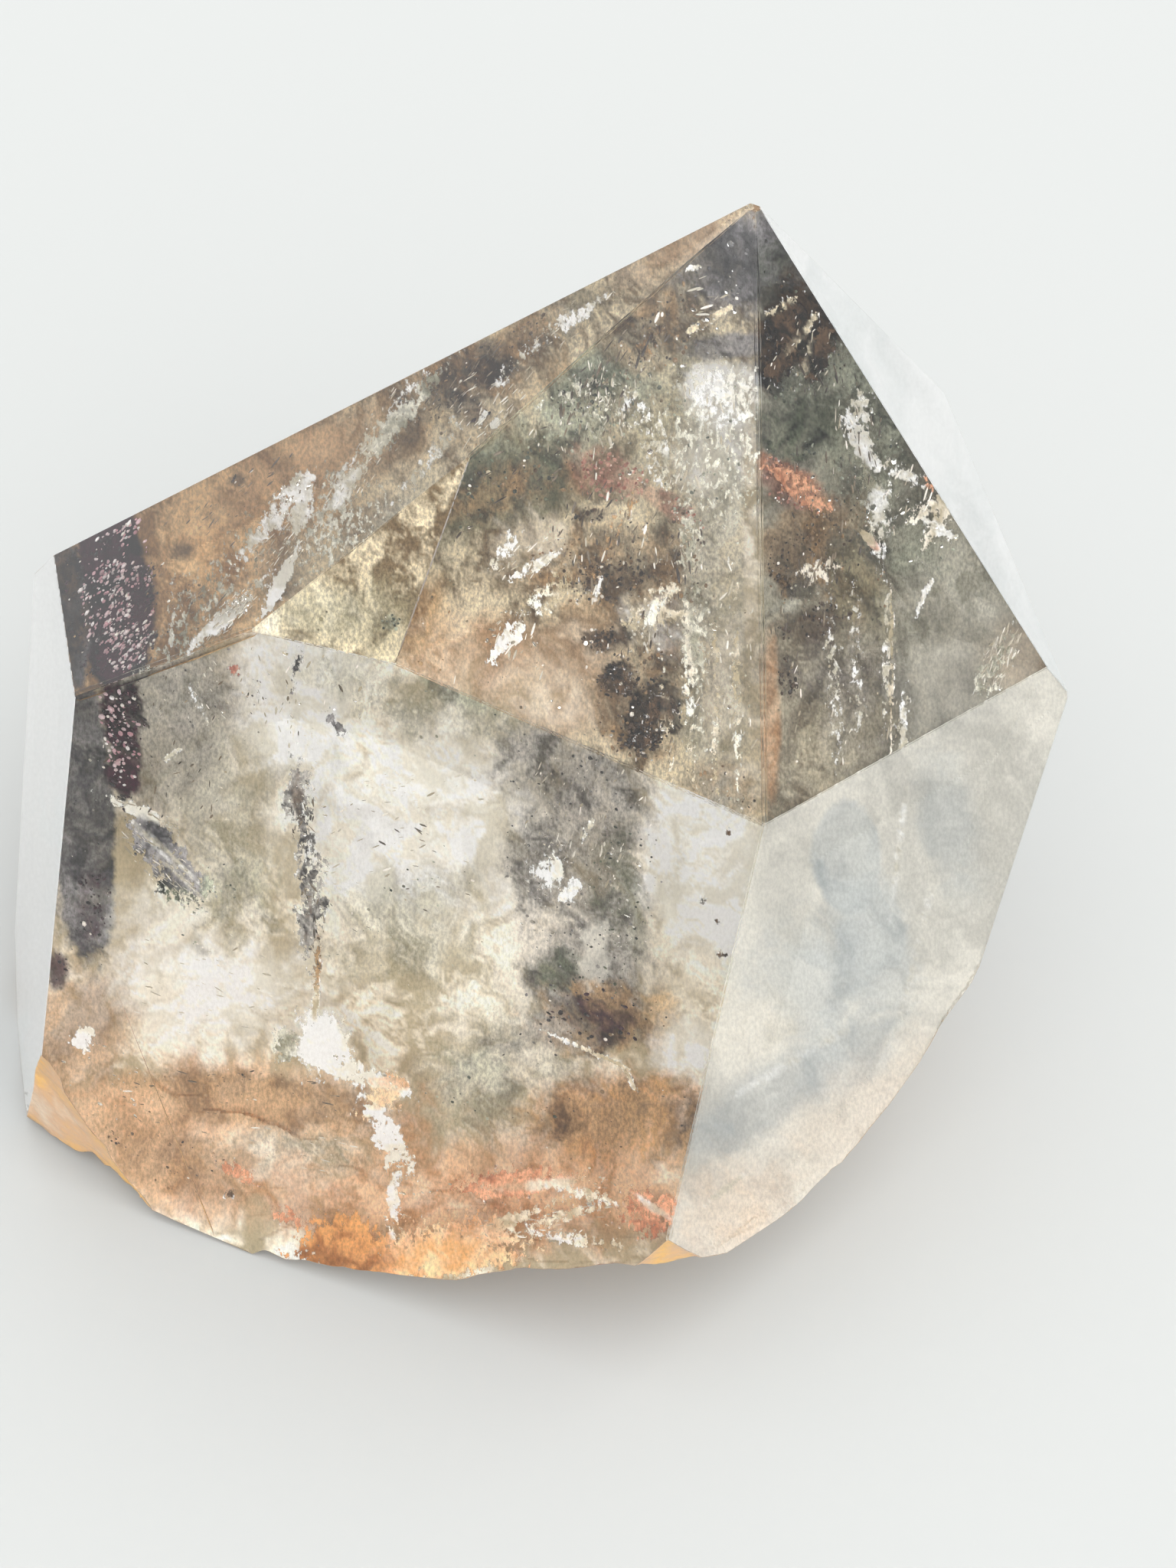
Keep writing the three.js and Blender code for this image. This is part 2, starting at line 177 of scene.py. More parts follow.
FILMS = {
    "left_slope_garden": Film("left_slope", 8 * MM, (
        ochre(330, 680, 460, 260, 27, 2.0, 0.2, 0.1, 200), beige(560, 560, 170, 150, 30, 0.9, 0.4, 0.6, 120),
        beige(800, 390, 200, 60, 30, 1.0, 0.4, 0.6, 60), blush(890, 315, 90, 30, 30, 0.8, 0.5, 0.6),
        veil(740, 415, 60, 20, 35, 0.5, 0.5, 0.8), veil(430, 760, 110, 70, 20, 0.5, 0.5, 0.7),
        beige(470, 700, 110, 60, 40, 0.7, 0.5, 0.7), veil(540, 680, 60, 40, 40, 0.6, 0.5, 0.7),
        tan(400, 610, 100, 44, 27, 0.8, 0.6, 0.6), honey(265, 700, 60, 26, 30, 0.4, 0.7, 0.7),
        brown(235, 790, 34, 60, 60, 0.6, 0.7, 0.8, 60), brown(600, 490, 76, 44, 30, 1.1, 0.5, 0.8, 160),
        clot(605, 484, 46, 22, 24, 0.9, 0.5, 0.9, 60), plum(622, 545, 16, 9, 20, 0.6, 0.5, 0.9, 20),
        brown(240, 718, 20, 13, 0, 0.8, 0.4, 0.9, 20), brown(200, 745, 18, 10, 0, 0.7, 0.4, 0.9, 16),
        clot(310, 627, 11, 7, 10, 0.9, 0.3, 0.8, 8), brown(700, 430, 40, 22, 35, 0.7, 0.5, 0.8, 60),
        green(470, 790, 50, 26, 0, 0.6, 0.5, 0.7), plum(146, 775, 52, 135, 4, 1.2, 0.1, 0.3, 700),
        *chips.strewn((152, 765, 42, 105, 4, 1100)), ink(88, 800, 27, 96, 6, 1.4, 0.1, 0.25, 60),
        clot(88, 800, 24, 90, 6, 0.9, 0.3, 0.9, 40),
    ), 1.15),
    "left_slope_feathers": Film("left_slope", 2.4 * MM, (
        veil(270, 780, 90, 26, 50, 0.35, 0.7, 0.9), veil(430, 690, 60, 40, 50, 0.35, 0.7, 0.9),
        milk(258, 838, 28, 5, 54, 0.9, 0.4, 0.8), snow(300, 803, 36, 9, 42, 1.0, 0.5, 0.9),
        milk(336, 768, 28, 6, 44, 0.9, 0.5, 0.9), snow(368, 757, 44, 8, 62, 1.0, 0.4, 0.7),
        milk(340, 700, 42, 7, 48, 0.8, 0.5, 1.1), milk(378, 655, 48, 14, 48, 0.9, 0.5, 1.2),
        snow(384, 650, 34, 4, 48, 0.8, 0.5, 1.2), milk(392, 675, 30, 10, 60, 0.7, 0.5, 1.1),
        milk(488, 580, 88, 12, 56, 0.65, 0.7, 1.0), veil(530, 540, 70, 10, 50, 0.6, 0.5, 0.7),
        milk(450, 640, 30, 8, 60, 0.6, 0.4, 0.9), milk(225, 800, 44, 3, 88, 0.5, 0.5, 0.6),
        snow(630, 545, 10, 5, 60, 0.9, 0.3, 0.6), snow(647, 553, 9, 5, 45, 0.9, 0.3, 0.6),
        milk(656, 496, 16, 6, 55, 0.9, 0.3, 0.6), milk(700, 450, 50, 7, 42, 0.6, 0.5, 0.9),
        milk(760, 410, 40, 6, 38, 0.6, 0.5, 0.9), milk(560, 600, 60, 8, 52, 0.4, 0.6, 1.0),
        *needle.strewn(
            (302, 800, 40, 14, 44, 60), (369, 700, 60, 30, 50, 90), (490, 580, 90, 26, 56, 120),
            (640, 520, 60, 34, 50, 90), (720, 440, 90, 22, 42, 90),
        ),
        *splinter.strewn((605, 480, 60, 30, 50, 160), (270, 740, 90, 60, 50, 90), (300, 650, 90, 30, 30, 70)),
        *glint.strewn((300, 800, 34, 12, 40, 90), (370, 660, 40, 16, 48, 90)),
    ), 1.0, 2.4),
    "front_slope_garden": Film("front_slope", 7 * MM, (
        beige(700, 750, 460, 520, 0, 2.0, 0.2, 0.1, 300), olive(620, 632, 180, 60, 10, 1.5, 0.4, 0.6, 120),
        green(650, 610, 90, 34, 10, 0.6, 0.5, 0.8, 80), moss(620, 638, 130, 44, 10, 0.8, 0.6, 1.0, 80),
        olive(500, 740, 110, 60, 20, 0.5, 0.5, 0.6, 60), green(880, 570, 110, 80, 80, 0.5, 0.5, 0.6, 100),
        green(765, 520, 80, 60, 30, 0.95, 0.35, 0.7, 260), moss(770, 500, 50, 30, 30, 0.6, 0.4, 0.9, 160),
        brown(850, 420, 60, 60, 50, 0.9, 0.4, 0.7, 160), slate(950, 340, 60, 90, 60, 1.0, 0.3, 0.5, 100),
        ink(960, 335, 44, 70, 60, 0.85, 0.5, 0.8, 30), slate(950, 452, 60, 16, 5, 0.9, 0.25, 0.4, 20),
        snow(945, 518, 58, 44, 0, 1.2, 0.2, 0.4), snow(935, 600, 64, 50, 80, 0.9, 0.5, 0.6, 20),
        salmon(790, 622, 50, 26, -14, 0.6, 0.5, 1.3, 160), salmon(870, 658, 50, 14, -32, 0.7, 0.4, 0.9, 90),
        clot(890, 668, 16, 6, -20, 0.6, 0.4, 0.9, 20), brown(650, 640, 90, 34, 10, 0.75, 0.5, 0.8, 60),
        cream(685, 715, 48, 36, 30, 0.8, 0.5, 1.1), brown(745, 735, 74, 30, 26, 0.7, 0.3, 0.8, 120),
        clot(775, 672, 22, 9, 0, 0.85, 0.4, 0.8, 60), brown(850, 740, 70, 60, 0, 0.5, 0.5, 0.9, 160),
        clot(800, 757, 48, 24, 10, 0.7, 0.4, 1.0, 100), ochre(552, 820, 44, 60, 0, 0.95, 0.4, 0.5, 60),
        peach(760, 900, 70, 50, 0, 0.3, 0.6, 0.8), blush(660, 900, 140, 80, -10, 1.0, 0.4, 0.5, 60),
        peach(640, 860, 70, 40, 10, 0.4, 0.6, 0.8), blush(740, 850, 70, 40, 20, 0.8, 0.5, 0.7),
        cream(672, 915, 84, 44, -12, 0.45, 0.6, 0.7), milk(865, 815, 46, 40, 0, 0.85, 0.4, 0.8, 60),
        clot(796, 832, 32, 16, 8, 0.9, 0.4, 1.4, 60), brown(840, 925, 56, 70, -20, 0.7, 0.5, 1.4, 200),
        brown(770, 800, 34, 20, 0, 0.6, 0.3, 1.2, 60), clot(806, 884, 24, 26, 0, 1.2, 0.15, 0.9, 100),
        clot(858, 925, 30, 38, -20, 1.2, 0.15, 1.0, 120), clot(836, 966, 26, 18, 0, 1.1, 0.15, 1.0, 80),
        veil(945, 830, 50, 220, 0, 0.8, 0.3, 0.6, 160), cream(955, 930, 34, 150, 0, 0.6, 0.4, 0.7),
        # The thin cream strip at x 984 along the ridge with the right slope is a painted highlight of that edge
        brown(945, 1040, 60, 34, -20, 0.5, 0.4, 0.8, 80), cream(984, 780, 12, 270, 1, 0.9, 0.3, 0.3),
    ), 1.1),
    "front_slope_feathers": Film("front_slope", 2.4 * MM, (
        snow(940, 502, 9, 7, 0, 0.9, 0.3, 0.4), slate(938, 501, 6, 4, 0, 0.6, 0.3, 0.4),
        milk(868, 353, 14, 5, 40, 0.9, 0.3, 0.5), milk(905, 350, 10, 4, 20, 0.9, 0.3, 0.5),
        beige(925, 418, 34, 5, 30, 0.9, 0.3, 0.5), milk(700, 738, 34, 6, 28, 0.9, 0.3, 0.5),
        milk(655, 840, 30, 7, 62, 0.9, 0.3, 0.8), snow(676, 828, 22, 6, 66, 0.95, 0.3, 0.8),
        snow(538, 782, 12, 3, 75, 0.9, 0.3, 0.3), milk(660, 715, 30, 10, 60, 0.7, 0.3, 0.8),
        milk(780, 770, 18, 3, 70, 0.8, 0.3, 0.6), veil(905, 800, 14, 120, 2, 0.5, 0.5, 1.2),
        cream(900, 900, 6, 110, 2, 0.4, 0.4, 1.3), cream(935, 930, 5, 100, 0, 0.4, 0.4, 1.3),
        cream(870, 940, 5, 70, 4, 0.4, 0.4, 1.3), cream(962, 900, 5, 130, 1, 0.5, 0.4, 1.2),
        veil(930, 590, 60, 64, 0, 0.35, 0.7, 0.9), snow(950, 515, 50, 34, 0, 0.4, 0.5, 0.7),
        milk(830, 545, 12, 34, 10, 0.5, 0.4, 1.3), milk(858, 590, 14, 40, 10, 0.5, 0.4, 1.3),
        veil(740, 520, 34, 18, 40, 0.4, 0.4, 1.4), veil(790, 540, 30, 16, 60, 0.4, 0.4, 1.4),
        clot(812, 890, 12, 14, 0, 0.9, 0.2, 1.3), clot(862, 930, 16, 20, -20, 0.9, 0.2, 1.3),
        clot(840, 968, 12, 8, 0, 0.9, 0.2, 1.3), clot(790, 834, 14, 9, 30, 0.6, 0.4, 1.6),
        brown(800, 700, 70, 10, 60, 0.4, 0.3, 1.4), brown(845, 450, 30, 10, 50, 0.5, 0.3, 1.4),
        cream(720, 770, 30, 12, 55, 0.5, 0.4, 1.3), cream(855, 795, 34, 18, 30, 0.6, 0.4, 1.4),
        *needle.strewn(
            (860, 560, 70, 120, 88, 160), (750, 530, 60, 60, 84, 130), (930, 900, 170, 60, 89, 130),
            (690, 730, 46, 20, 40, 40), (670, 830, 34, 22, 64, 40), (640, 900, 70, 60, 75, 40),
            (830, 760, 80, 70, 85, 60), (900, 360, 50, 50, 20, 30),
        ),
        *splinter.strewn(
            (800, 440, 90, 60, 60, 160), (760, 520, 60, 60, 84, 100), (820, 720, 80, 90, 80, 160),
            (840, 900, 90, 60, 80, 120), (620, 640, 120, 50, 30, 60),
        ),
        *glint.strewn(
            (830, 540, 130, 60, 30, 70), (930, 380, 50, 60, 0, 30), (840, 860, 120, 120, 0, 50),
            (670, 830, 34, 30, 60, 20),
        ),
    ), 1.2, 2.6),
    "right_slope_garden": Film("right_slope", 7 * MM, (
        grey(1180, 760, 320, 520, 30, 2.0, 0.2, 0.1, 160), haze(1290, 860, 130, 90, 20, 0.5, 0.5, 0.5),
        beige(1060, 900, 90, 200, 0, 0.6, 0.4, 0.6, 60), slate(1020, 330, 60, 80, -60, 1.0, 0.3, 0.4, 60),
        moss(1010, 350, 40, 40, -60, 0.6, 0.5, 1.0, 40), clot(1040, 446, 66, 88, -50, 1.6, 0.3, 0.6, 120),
        green(1110, 540, 90, 70, -50, 0.9, 0.4, 0.6, 200), moss(1036, 560, 52, 50, 0, 1.0, 0.4, 0.7, 120),
        green(1160, 680, 90, 60, -50, 0.8, 0.5, 0.7, 100), salmon(1030, 634, 50, 24, -30, 1.0, 0.3, 0.6, 120),
        rust(1048, 634, 54, 16, -34, 1.0, 0.5, 0.8, 60), brown(1040, 715, 52, 66, 0, 1.1, 0.25, 0.6, 160),
        clot(1030, 730, 30, 34, 0, 0.5, 0.3, 1.2, 60), brown(1105, 740, 50, 80, 10, 0.75, 0.4, 0.7, 160),
        olive(1120, 780, 34, 56, 20, 0.8, 0.4, 0.8, 80), clot(1062, 812, 46, 22, 10, 0.9, 0.3, 1.2, 80),
        veil(1058, 775, 34, 14, 10, 0.7, 0.4, 1.2, 20), clot(1030, 885, 12, 26, 0, 0.65, 0.3, 1.2, 40),
        veil(1020, 792, 26, 9, 0, 0.9, 0.3, 0.6), peach(1006, 940, 12, 110, 0, 0.9, 0.3, 0.4),
        slate(1110, 900, 60, 80, 10, 0.5, 0.6, 0.5), veil(1250, 790, 90, 60, 40, 0.6, 0.5, 0.6),
        blush(1340, 860, 50, 46, 0, 0.6, 0.6, 0.5),
    ), 0.9),
    "right_slope_feathers": Film("right_slope", 2.2 * MM, (
        beige(1040, 445, 30, 5, 50, 0.7, 0.3, 0.9), beige(1055, 470, 24, 4, 75, 0.7, 0.3, 0.9),
        cream(1048, 480, 16, 3, 60, 0.7, 0.3, 0.7), beige(1022, 400, 26, 4, 30, 0.6, 0.3, 0.9),
        beige(1060, 420, 20, 3, 60, 0.6, 0.3, 0.9), clot(1030, 430, 28, 22, 40, 1.0, 0.4, 1.3),
        clot(1072, 455, 18, 34, -20, 1.0, 0.4, 1.3), clot(1018, 478, 22, 16, 0, 1.0, 0.4, 1.3),
        milk(1125, 520, 12, 10, 0, 0.6, 0.3, 1.2), milk(1130, 590, 30, 8, -52, 0.8, 0.3, 1.2),
        veil(1140, 640, 50, 16, -70, 0.5, 0.4, 1.2), milk(1172, 615, 28, 9, -30, 0.7, 0.4, 0.8),
        milk(1145, 700, 44, 9, -80, 0.7, 0.4, 0.8), cream(1210, 665, 30, 9, 30, 0.8, 0.3, 0.9),
        cream(1215, 700, 26, 7, 60, 0.8, 0.3, 0.9), milk(1225, 690, 24, 6, -30, 0.8, 0.3, 0.9),
        rust(1140, 710, 12, 6, -50, 0.8, 0.3, 0.5), cream(1133, 702, 14, 6, -50, 0.9, 0.3, 0.5),
        rust(1213, 633, 12, 4, -60, 0.6, 0.3, 0.5), cream(1164, 880, 100, 3, 90, 0.8, 0.3, 0.3),
        milk(1157, 860, 80, 4, 89, 0.6, 0.4, 0.6), milk(1180, 950, 40, 6, 86, 0.7, 0.4, 0.6),
        milk(1210, 772, 20, 2, 60, 0.8, 0.3, 0.3), veil(1300, 866, 40, 12, 62, 0.6, 0.6, 1.2),
        milk(1090, 900, 8, 90, 4, 0.35, 0.5, 1.3), milk(1120, 880, 7, 80, 2, 0.35, 0.5, 1.3),
        milk(1120, 545, 20, 12, 60, 0.8, 0.3, 1.4), snow(1126, 568, 12, 24, 20, 0.9, 0.25, 1.3),
        milk(1150, 660, 16, 34, 10, 0.7, 0.3, 1.4), cream(1235, 665, 26, 14, 50, 0.8, 0.3, 1.4),
        cream(1070, 745, 26, 12, 10, 0.5, 0.3, 1.4), milk(1205, 780, 26, 3, 70, 0.7, 0.3, 0.9),
        *needle.strewn(
            (1304, 862, 42, 18, 62, 110), (1165, 880, 110, 9, 90, 50), (1090, 880, 110, 50, 82, 50),
            (1045, 450, 70, 50, 60, 50), (1130, 600, 90, 30, 110, 70), (1200, 670, 60, 50, 60, 50),
        ),
        *splinter.strewn((1090, 560, 90, 60, 100, 120), (1060, 760, 110, 60, 88, 160)),
        *glint.strewn((1130, 600, 90, 40, 110, 60), (1210, 680, 50, 40, 60, 40), (1060, 640, 60, 30, 0, 20)),
        rust(1036, 632, 40, 13, -32, 0.75, 0.5, 1.1),
    ), 1.0, 2.6),
    "front_garden": Film("front", 7 * MM, (
        cream(500, 1250, 620, 520, 0, 2.0, 0.2, 0.1, 100), snow(550, 1085, 150, 120, 0, 1.0, 0.5, 0.5),
        grey(230, 960, 120, 130, 20, 0.8, 0.5, 0.6, 40), slate(250, 930, 90, 80, 30, 0.4, 0.6, 0.9, 60),
        plum(210, 1010, 50, 40, 0, 0.25, 0.5, 0.9), snow(390, 900, 84, 110, 0, 1.1, 0.3, 0.5),
        veil(560, 925, 150, 36, -22, 0.7, 0.4, 0.8, 60), green(610, 905, 60, 20, -24, 0.6, 0.4, 0.9, 40),
        veil(520, 1225, 90, 55, 0, 0.7, 0.6, 0.8, 40), green(560, 1160, 60, 30, 0, 0.3, 0.6, 0.9, 40),
        veil(640, 1330, 70, 60, 0, 0.5, 0.6, 0.8), veil(660, 1410, 110, 60, 0, 0.6, 0.5, 0.9),
        green(650, 1430, 90, 50, -10, 0.45, 0.5, 1.3, 60), slate(760, 1130, 96, 230, 0, 0.4, 0.4, 0.6, 60),
        granite(745, 1000, 100, 50, -14, 0.8, 0.3, 0.9, 100), granite(775, 1110, 74, 130, 0, 0.7, 0.3, 0.9, 160),
        granite(700, 1130, 40, 70, 0, 0.7, 0.3, 1.0, 60), moss(808, 1190, 36, 96, 0, 0.5, 0.3, 1.0, 80),
        granite(775, 1270, 80, 56, 0, 0.8, 0.3, 0.8, 80), moss(722, 1262, 40, 26, 0, 0.7, 0.3, 1.1, 60),
        haze(775, 1255, 18, 44, -10, 0.7, 0.3, 0.9), brown(775, 1335, 84, 46, 0, 0.9, 0.3, 0.8, 60),
        plum(786, 1325, 66, 32, -6, 0.55, 0.4, 1.0, 60), granite(700, 1355, 60, 30, 0, 0.6, 0.3, 1.0, 40),
        veil(735, 1395, 60, 18, -20, 0.6, 0.4, 1.0), snow(925, 1110, 78, 150, -5, 1.2, 0.25, 0.3),
        cream(885, 1270, 44, 50, 0, 0.8, 0.4, 0.6), ochre(864, 1335, 20, 46, 0, 0.8, 0.4, 0.7),
        snow(892, 1370, 44, 40, 0, 0.8, 0.4, 0.7), snow(270, 1300, 150, 62, 4, 0.9, 0.6, 0.8),
        tan(100, 1345, 66, 76, 0, 0.8, 0.4, 0.6), peach(330, 1450, 200, 62, -2, 0.8, 0.5, 0.8),
        tan(330, 1436, 170, 36, -4, 0.9, 0.3, 0.7, 60), brown(300, 1418, 140, 14, -4, 0.4, 0.4, 1.1, 60),
        brown(470, 1478, 60, 18, -35, 0.4, 0.4, 1.2), peach(200, 1515, 140, 56, -25, 0.9, 0.5, 0.5),
        tan(210, 1510, 110, 40, -25, 0.7, 0.5, 0.8, 40), brown(225, 1515, 84, 34, -20, 0.3, 0.4, 1.3, 80),
        veil(400, 1508, 96, 32, -4, 0.7, 0.4, 0.9), peach(640, 1560, 280, 66, 0, 0.9, 0.4, 0.6),
        amber(820, 1466, 120, 54, 5, 0.85, 0.5, 0.6), brown(810, 1462, 130, 46, 6, 0.85, 0.5, 0.9, 60),
        green(285, 1185, 60, 50, 0, 0.45, 0.5, 1.3, 60), veil(300, 1110, 50, 70, 0, 0.5, 0.5, 1.0, 20),
        ink(108, 1070, 42, 190, 3, 1.1, 0.08, 0.25, 80), granite(112, 1000, 36, 120, 4, 0.35, 0.3, 0.9, 40),
        slate(104, 1170, 40, 76, 8, 0.6, 0.3, 0.9, 40), snow(200, 1200, 70, 50, -20, 0.6, 0.5, 1.2, 20),
        granite(225, 930, 80, 70, 30, 0.35, 0.5, 1.2, 60), plum(160, 950, 26, 96, 4, 1.0, 0.2, 0.8, 300),
        *chips.strewn((158, 935, 24, 80, 4, 200)), plum(122, 1190, 22, 50, 0, 0.6, 0.4, 0.6, 60),
        plum(76, 1268, 14, 22, 0, 0.9, 0.3, 0.6, 20),
    ), 1.2),
    "front_details": Film("front", 2.2 * MM, (
        # The white patch at 418, 1368 is a white inclusion painted also as the bright flash of light it shows:
        # partly a painted highlight
        veil(376, 1366, 16, 18, 0, 0.8, 0.3, 0.9), snow(418, 1368, 32, 40, 10, 1.3, 0.35, 0.9),
        snow(470, 1404, 60, 12, -20, 0.9, 0.3, 1.4), snow(506, 1484, 44, 14, -58, 0.9, 0.3, 1.4),
        snow(514, 1570, 40, 7, -88, 0.8, 0.3, 1.4), peach(500, 1430, 34, 22, 30, 0.7, 0.25, 0.9),
        snow(108, 1358, 14, 14, 0, 1.0, 0.3, 1.1), snow(716, 1137, 18, 18, -30, 1.0, 0.6, 1.1),
        granite(392, 1058, 15, 50, 6, 0.9, 0.3, 1.6, 30), clot(388, 1040, 5, 26, 4, 0.6, 0.3, 1.6),
        granite(400, 1120, 10, 34, 0, 0.7, 0.3, 1.6), granite(408, 1190, 15, 58, -4, 0.8, 0.3, 1.6, 20),
        clot(404, 1180, 4, 34, -4, 0.5, 0.3, 1.6), brown(414, 1265, 5, 36, -2, 0.6, 0.3, 1.0, 10),
        cream(412, 1310, 4, 24, -4, 0.8, 0.3, 0.3), snow(182, 1060, 46, 8, -24, 1.1, 0.3, 0.8),
        slate(216, 1120, 66, 25, -43, 0.85, 0.2, 0.6, 20), moss(226, 1164, 26, 12, -30, 0.6, 0.4, 0.9, 10),
        milk(198, 1100, 50, 3, -47, 0.8, 0.3, 0.6), milk(224, 1118, 48, 3, -45, 0.7, 0.3, 0.7),
        milk(240, 1150, 36, 2, -42, 0.6, 0.3, 0.7), green(270, 1160, 8, 14, 0, 0.7, 0.4, 0.8),
        slate(388, 868, 4, 30, -12, 0.5, 0.3, 1.3), slate(440, 948, 22, 5, -52, 0.6, 0.3, 1.4),
        *glint.strewn(
            (480, 1400, 44, 12, -25, 50), (512, 1490, 40, 14, -55, 50), (520, 1570, 44, 8, -88, 30),
            (718, 1135, 18, 16, -30, 30), (760, 1160, 80, 90, 0, 90), (400, 1110, 24, 120, 0, 60),
            (450, 900, 160, 60, 0, 50), (680, 1580, 160, 50, 0, 90), (170, 1420, 100, 40, -20, 70),
        ),
        *needle.strewn(
            (190, 1065, 46, 12, -24, 60), (215, 1130, 60, 22, -42, 110), (250, 920, 50, 60, -60, 40),
            (520, 1090, 120, 70, 20, 130), (400, 900, 70, 80, 70, 60), (280, 1290, 120, 70, -10, 70),
            (700, 1580, 90, 40, 10, 150), (760, 1080, 80, 90, 70, 120), (380, 1500, 80, 26, -5, 50),
        ),
        *splinter.strewn(
            (396, 1056, 44, 14, 86, 60), (408, 1192, 56, 14, 96, 50), (205, 1125, 56, 20, -42, 40),
            (240, 970, 100, 90, 60, 110), (390, 890, 70, 50, 80, 30), (520, 1150, 120, 90, -20, 40),
            (300, 1440, 150, 40, 0, 80),
        ),
        salmon(308, 875, 7, 7, 0, 0.8, 0.3, 0.6), milk(262, 925, 30, 3, -62, 0.7, 0.3, 0.5),
        milk(225, 985, 14, 3, 40, 0.8, 0.3, 0.5), milk(770, 1080, 20, 3, 60, 0.8, 0.3, 0.8),
        milk(745, 1165, 16, 10, 60, 0.8, 0.3, 1.0), cream(768, 1372, 66, 3, -24, 0.9, 0.2, 0.3),
        cream(822, 1408, 18, 3, -62, 0.9, 0.2, 0.3), clot(952, 1088, 4, 4, 0, 0.9, 0.4, 0.6),
        clot(918, 1178, 4, 4, 0, 0.9, 0.4, 0.6), clot(936, 1202, 5, 3, -30, 0.9, 0.4, 0.6),
        clot(944, 1246, 6, 4, 0, 0.7, 0.4, 0.6), rust(665, 1545, 70, 16, 3, 0.7, 0.4, 0.8),
        rust(850, 1585, 40, 24, -20, 0.7, 0.4, 0.8), cream(700, 1548, 60, 6, 5, 0.7, 0.5, 1.0),
        cream(765, 1560, 34, 7, -15, 0.7, 0.5, 1.1), cream(655, 1600, 64, 8, 22, 0.7, 0.5, 1.1),
        cream(730, 1590, 60, 6, 16, 0.6, 0.5, 1.2), cream(760, 1620, 60, 6, -8, 0.6, 0.5, 1.1),
        milk(850, 1575, 24, 4, -35, 0.7, 0.5, 1.0), rust(310, 1530, 26, 9, -25, 0.6, 0.4, 0.8),
        rust(382, 1590, 26, 9, -20, 0.6, 0.4, 0.8), amber(462, 1638, 66, 38, -10, 0.95, 0.4, 0.8),
        peach(590, 1630, 80, 34, 4, 0.7, 0.5, 0.7), honey(585, 1642, 66, 28, 4, 0.7, 0.4, 0.9),
        clot(300, 1560, 6, 5, 0, 0.8, 0.4, 0.6),
    ), 1.3),
    "right_veil": Film("right", 3.5 * MM, (
        haze(1120, 1250, 460, 500, 0, 2.0, 0.2, 0.1), ash(1106, 1120, 46, 74, 0, 0.9, 0.1, 0.15),
        ash(1145, 1235, 48, 96, 12, 0.8, 0.3, 0.4), ash(1060, 1280, 70, 80, 20, 0.8, 0.5, 0.6),
        ash(1000, 1435, 110, 40, 36, 0.8, 0.3, 0.4), ash(1110, 1385, 80, 36, 42, 0.7, 0.4, 0.5),
        ash(1240, 1080, 40, 90, 14, 0.5, 0.5, 0.6), haze(1010, 1150, 40, 90, 5, 0.5, 0.5, 0.6),
        cream(990, 1345, 60, 50, 30, 0.4, 0.5, 0.6), peach(960, 1580, 80, 60, 40, 0.35, 0.6, 0.6),
        peach(1120, 1450, 100, 50, 45, 0.2, 0.6, 0.6), milk(945, 1555, 34, 4, 38, 0.7, 0.3, 0.7),
        milk(1175, 1100, 80, 4, 83, 0.6, 0.4, 0.7), milk(1030, 1390, 90, 5, 30, 0.4, 0.5, 0.9),
        milk(1200, 1230, 90, 5, 76, 0.4, 0.5, 0.9),
    ), 1.12),
    "worn_corner_veil": Film("worn_corner", 3 * MM, (
        beige(480, 760, 240, 240, 0, 2.0, 0.2, 0.1), veil(400, 810, 80, 40, 10, 0.6, 0.5, 0.6),
        olive(480, 800, 80, 50, -20, 0.6, 0.5, 0.7, 40), green(511, 813, 12, 10, 0, 0.8, 0.3, 0.7, 20),
    ), 1.35),
    # Painted reflection: a near-white sheet under the left face stands for the pale floor and sky that this face
    # mirrors and bends
    "left_painted_reflection": Film("left", 1.5 * MM, (
        painted_reflection_white(60, 1050, 80, 420, 0, 2.0, 0.2, 0.1),
    ), 1.2, 1.6),
    # Painted reflection: a near-white sheet under the right rear face for the pale floor and sky that it mirrors
    # and bends, with two ash streaks as veils
    "right_rear_veil_and_painted_reflection": Film("right_rear_slope", 1.5 * MM, (
        painted_reflection_white(1200, 600, 300, 420, 30, 2.0, 0.2, 0.1), ash(1170, 470, 60, 14, -52, 0.35, 0.6, 1.0),
        ash(1280, 700, 80, 12, -66, 0.35, 0.6, 1.0),
    ), 0.9, 1.8),
}


def linear_colour(tone, alpha=1.0):
    """An sRGB hex value as linear RGBA."""
    digits = tone.lstrip("#")
    channels = [int(digits[i:i + 2], 16) / 255 for i in (0, 2, 4)]
    return [c / 12.92 if c <= 0.04045 else ((c + 0.055) / 1.055) ** 2.4 for c in channels] + [alpha]


def add_node(tree, kind, inputs=None, **settings):
    """Adds a node, gives it its settings, and links or sets each of its inputs."""
    node = tree.nodes.new(kind)
    for name, value in settings.items():
        setattr(node, name, value)
    for name, value in (inputs or {}).items():
        socket = node.inputs[name]
        if isinstance(value, bpy.types.NodeSocket):
            tree.links.new(value, socket)
        else:
            socket.default_value = value
    return node


def new_material(name):
    """A material and its node tree, with no node in it."""
    material = bpy.data.materials.new(name)
    material.use_nodes = True
    material.node_tree.nodes.clear()
    return material, material.node_tree


def add_object(name, data):
    item = bpy.data.objects.new(name, data)
    bpy.context.scene.collection.objects.link(item)
    return item


def add_attribute(mesh, name, kind, field, values):
    """Gives each point of a mesh a value."""
    mesh.attributes.new(name, kind, "POINT").data.foreach_set(field, values.ravel())


def length(name, description, default):
    """A setting in metres."""
    return FloatProperty(name=name, description=description, default=default, unit="LENGTH")


def mount_piece(item):
    """A finished piece rides on the crystal's body."""
    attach(item, BODY)


# Smooth random fields, for pixels of the main view

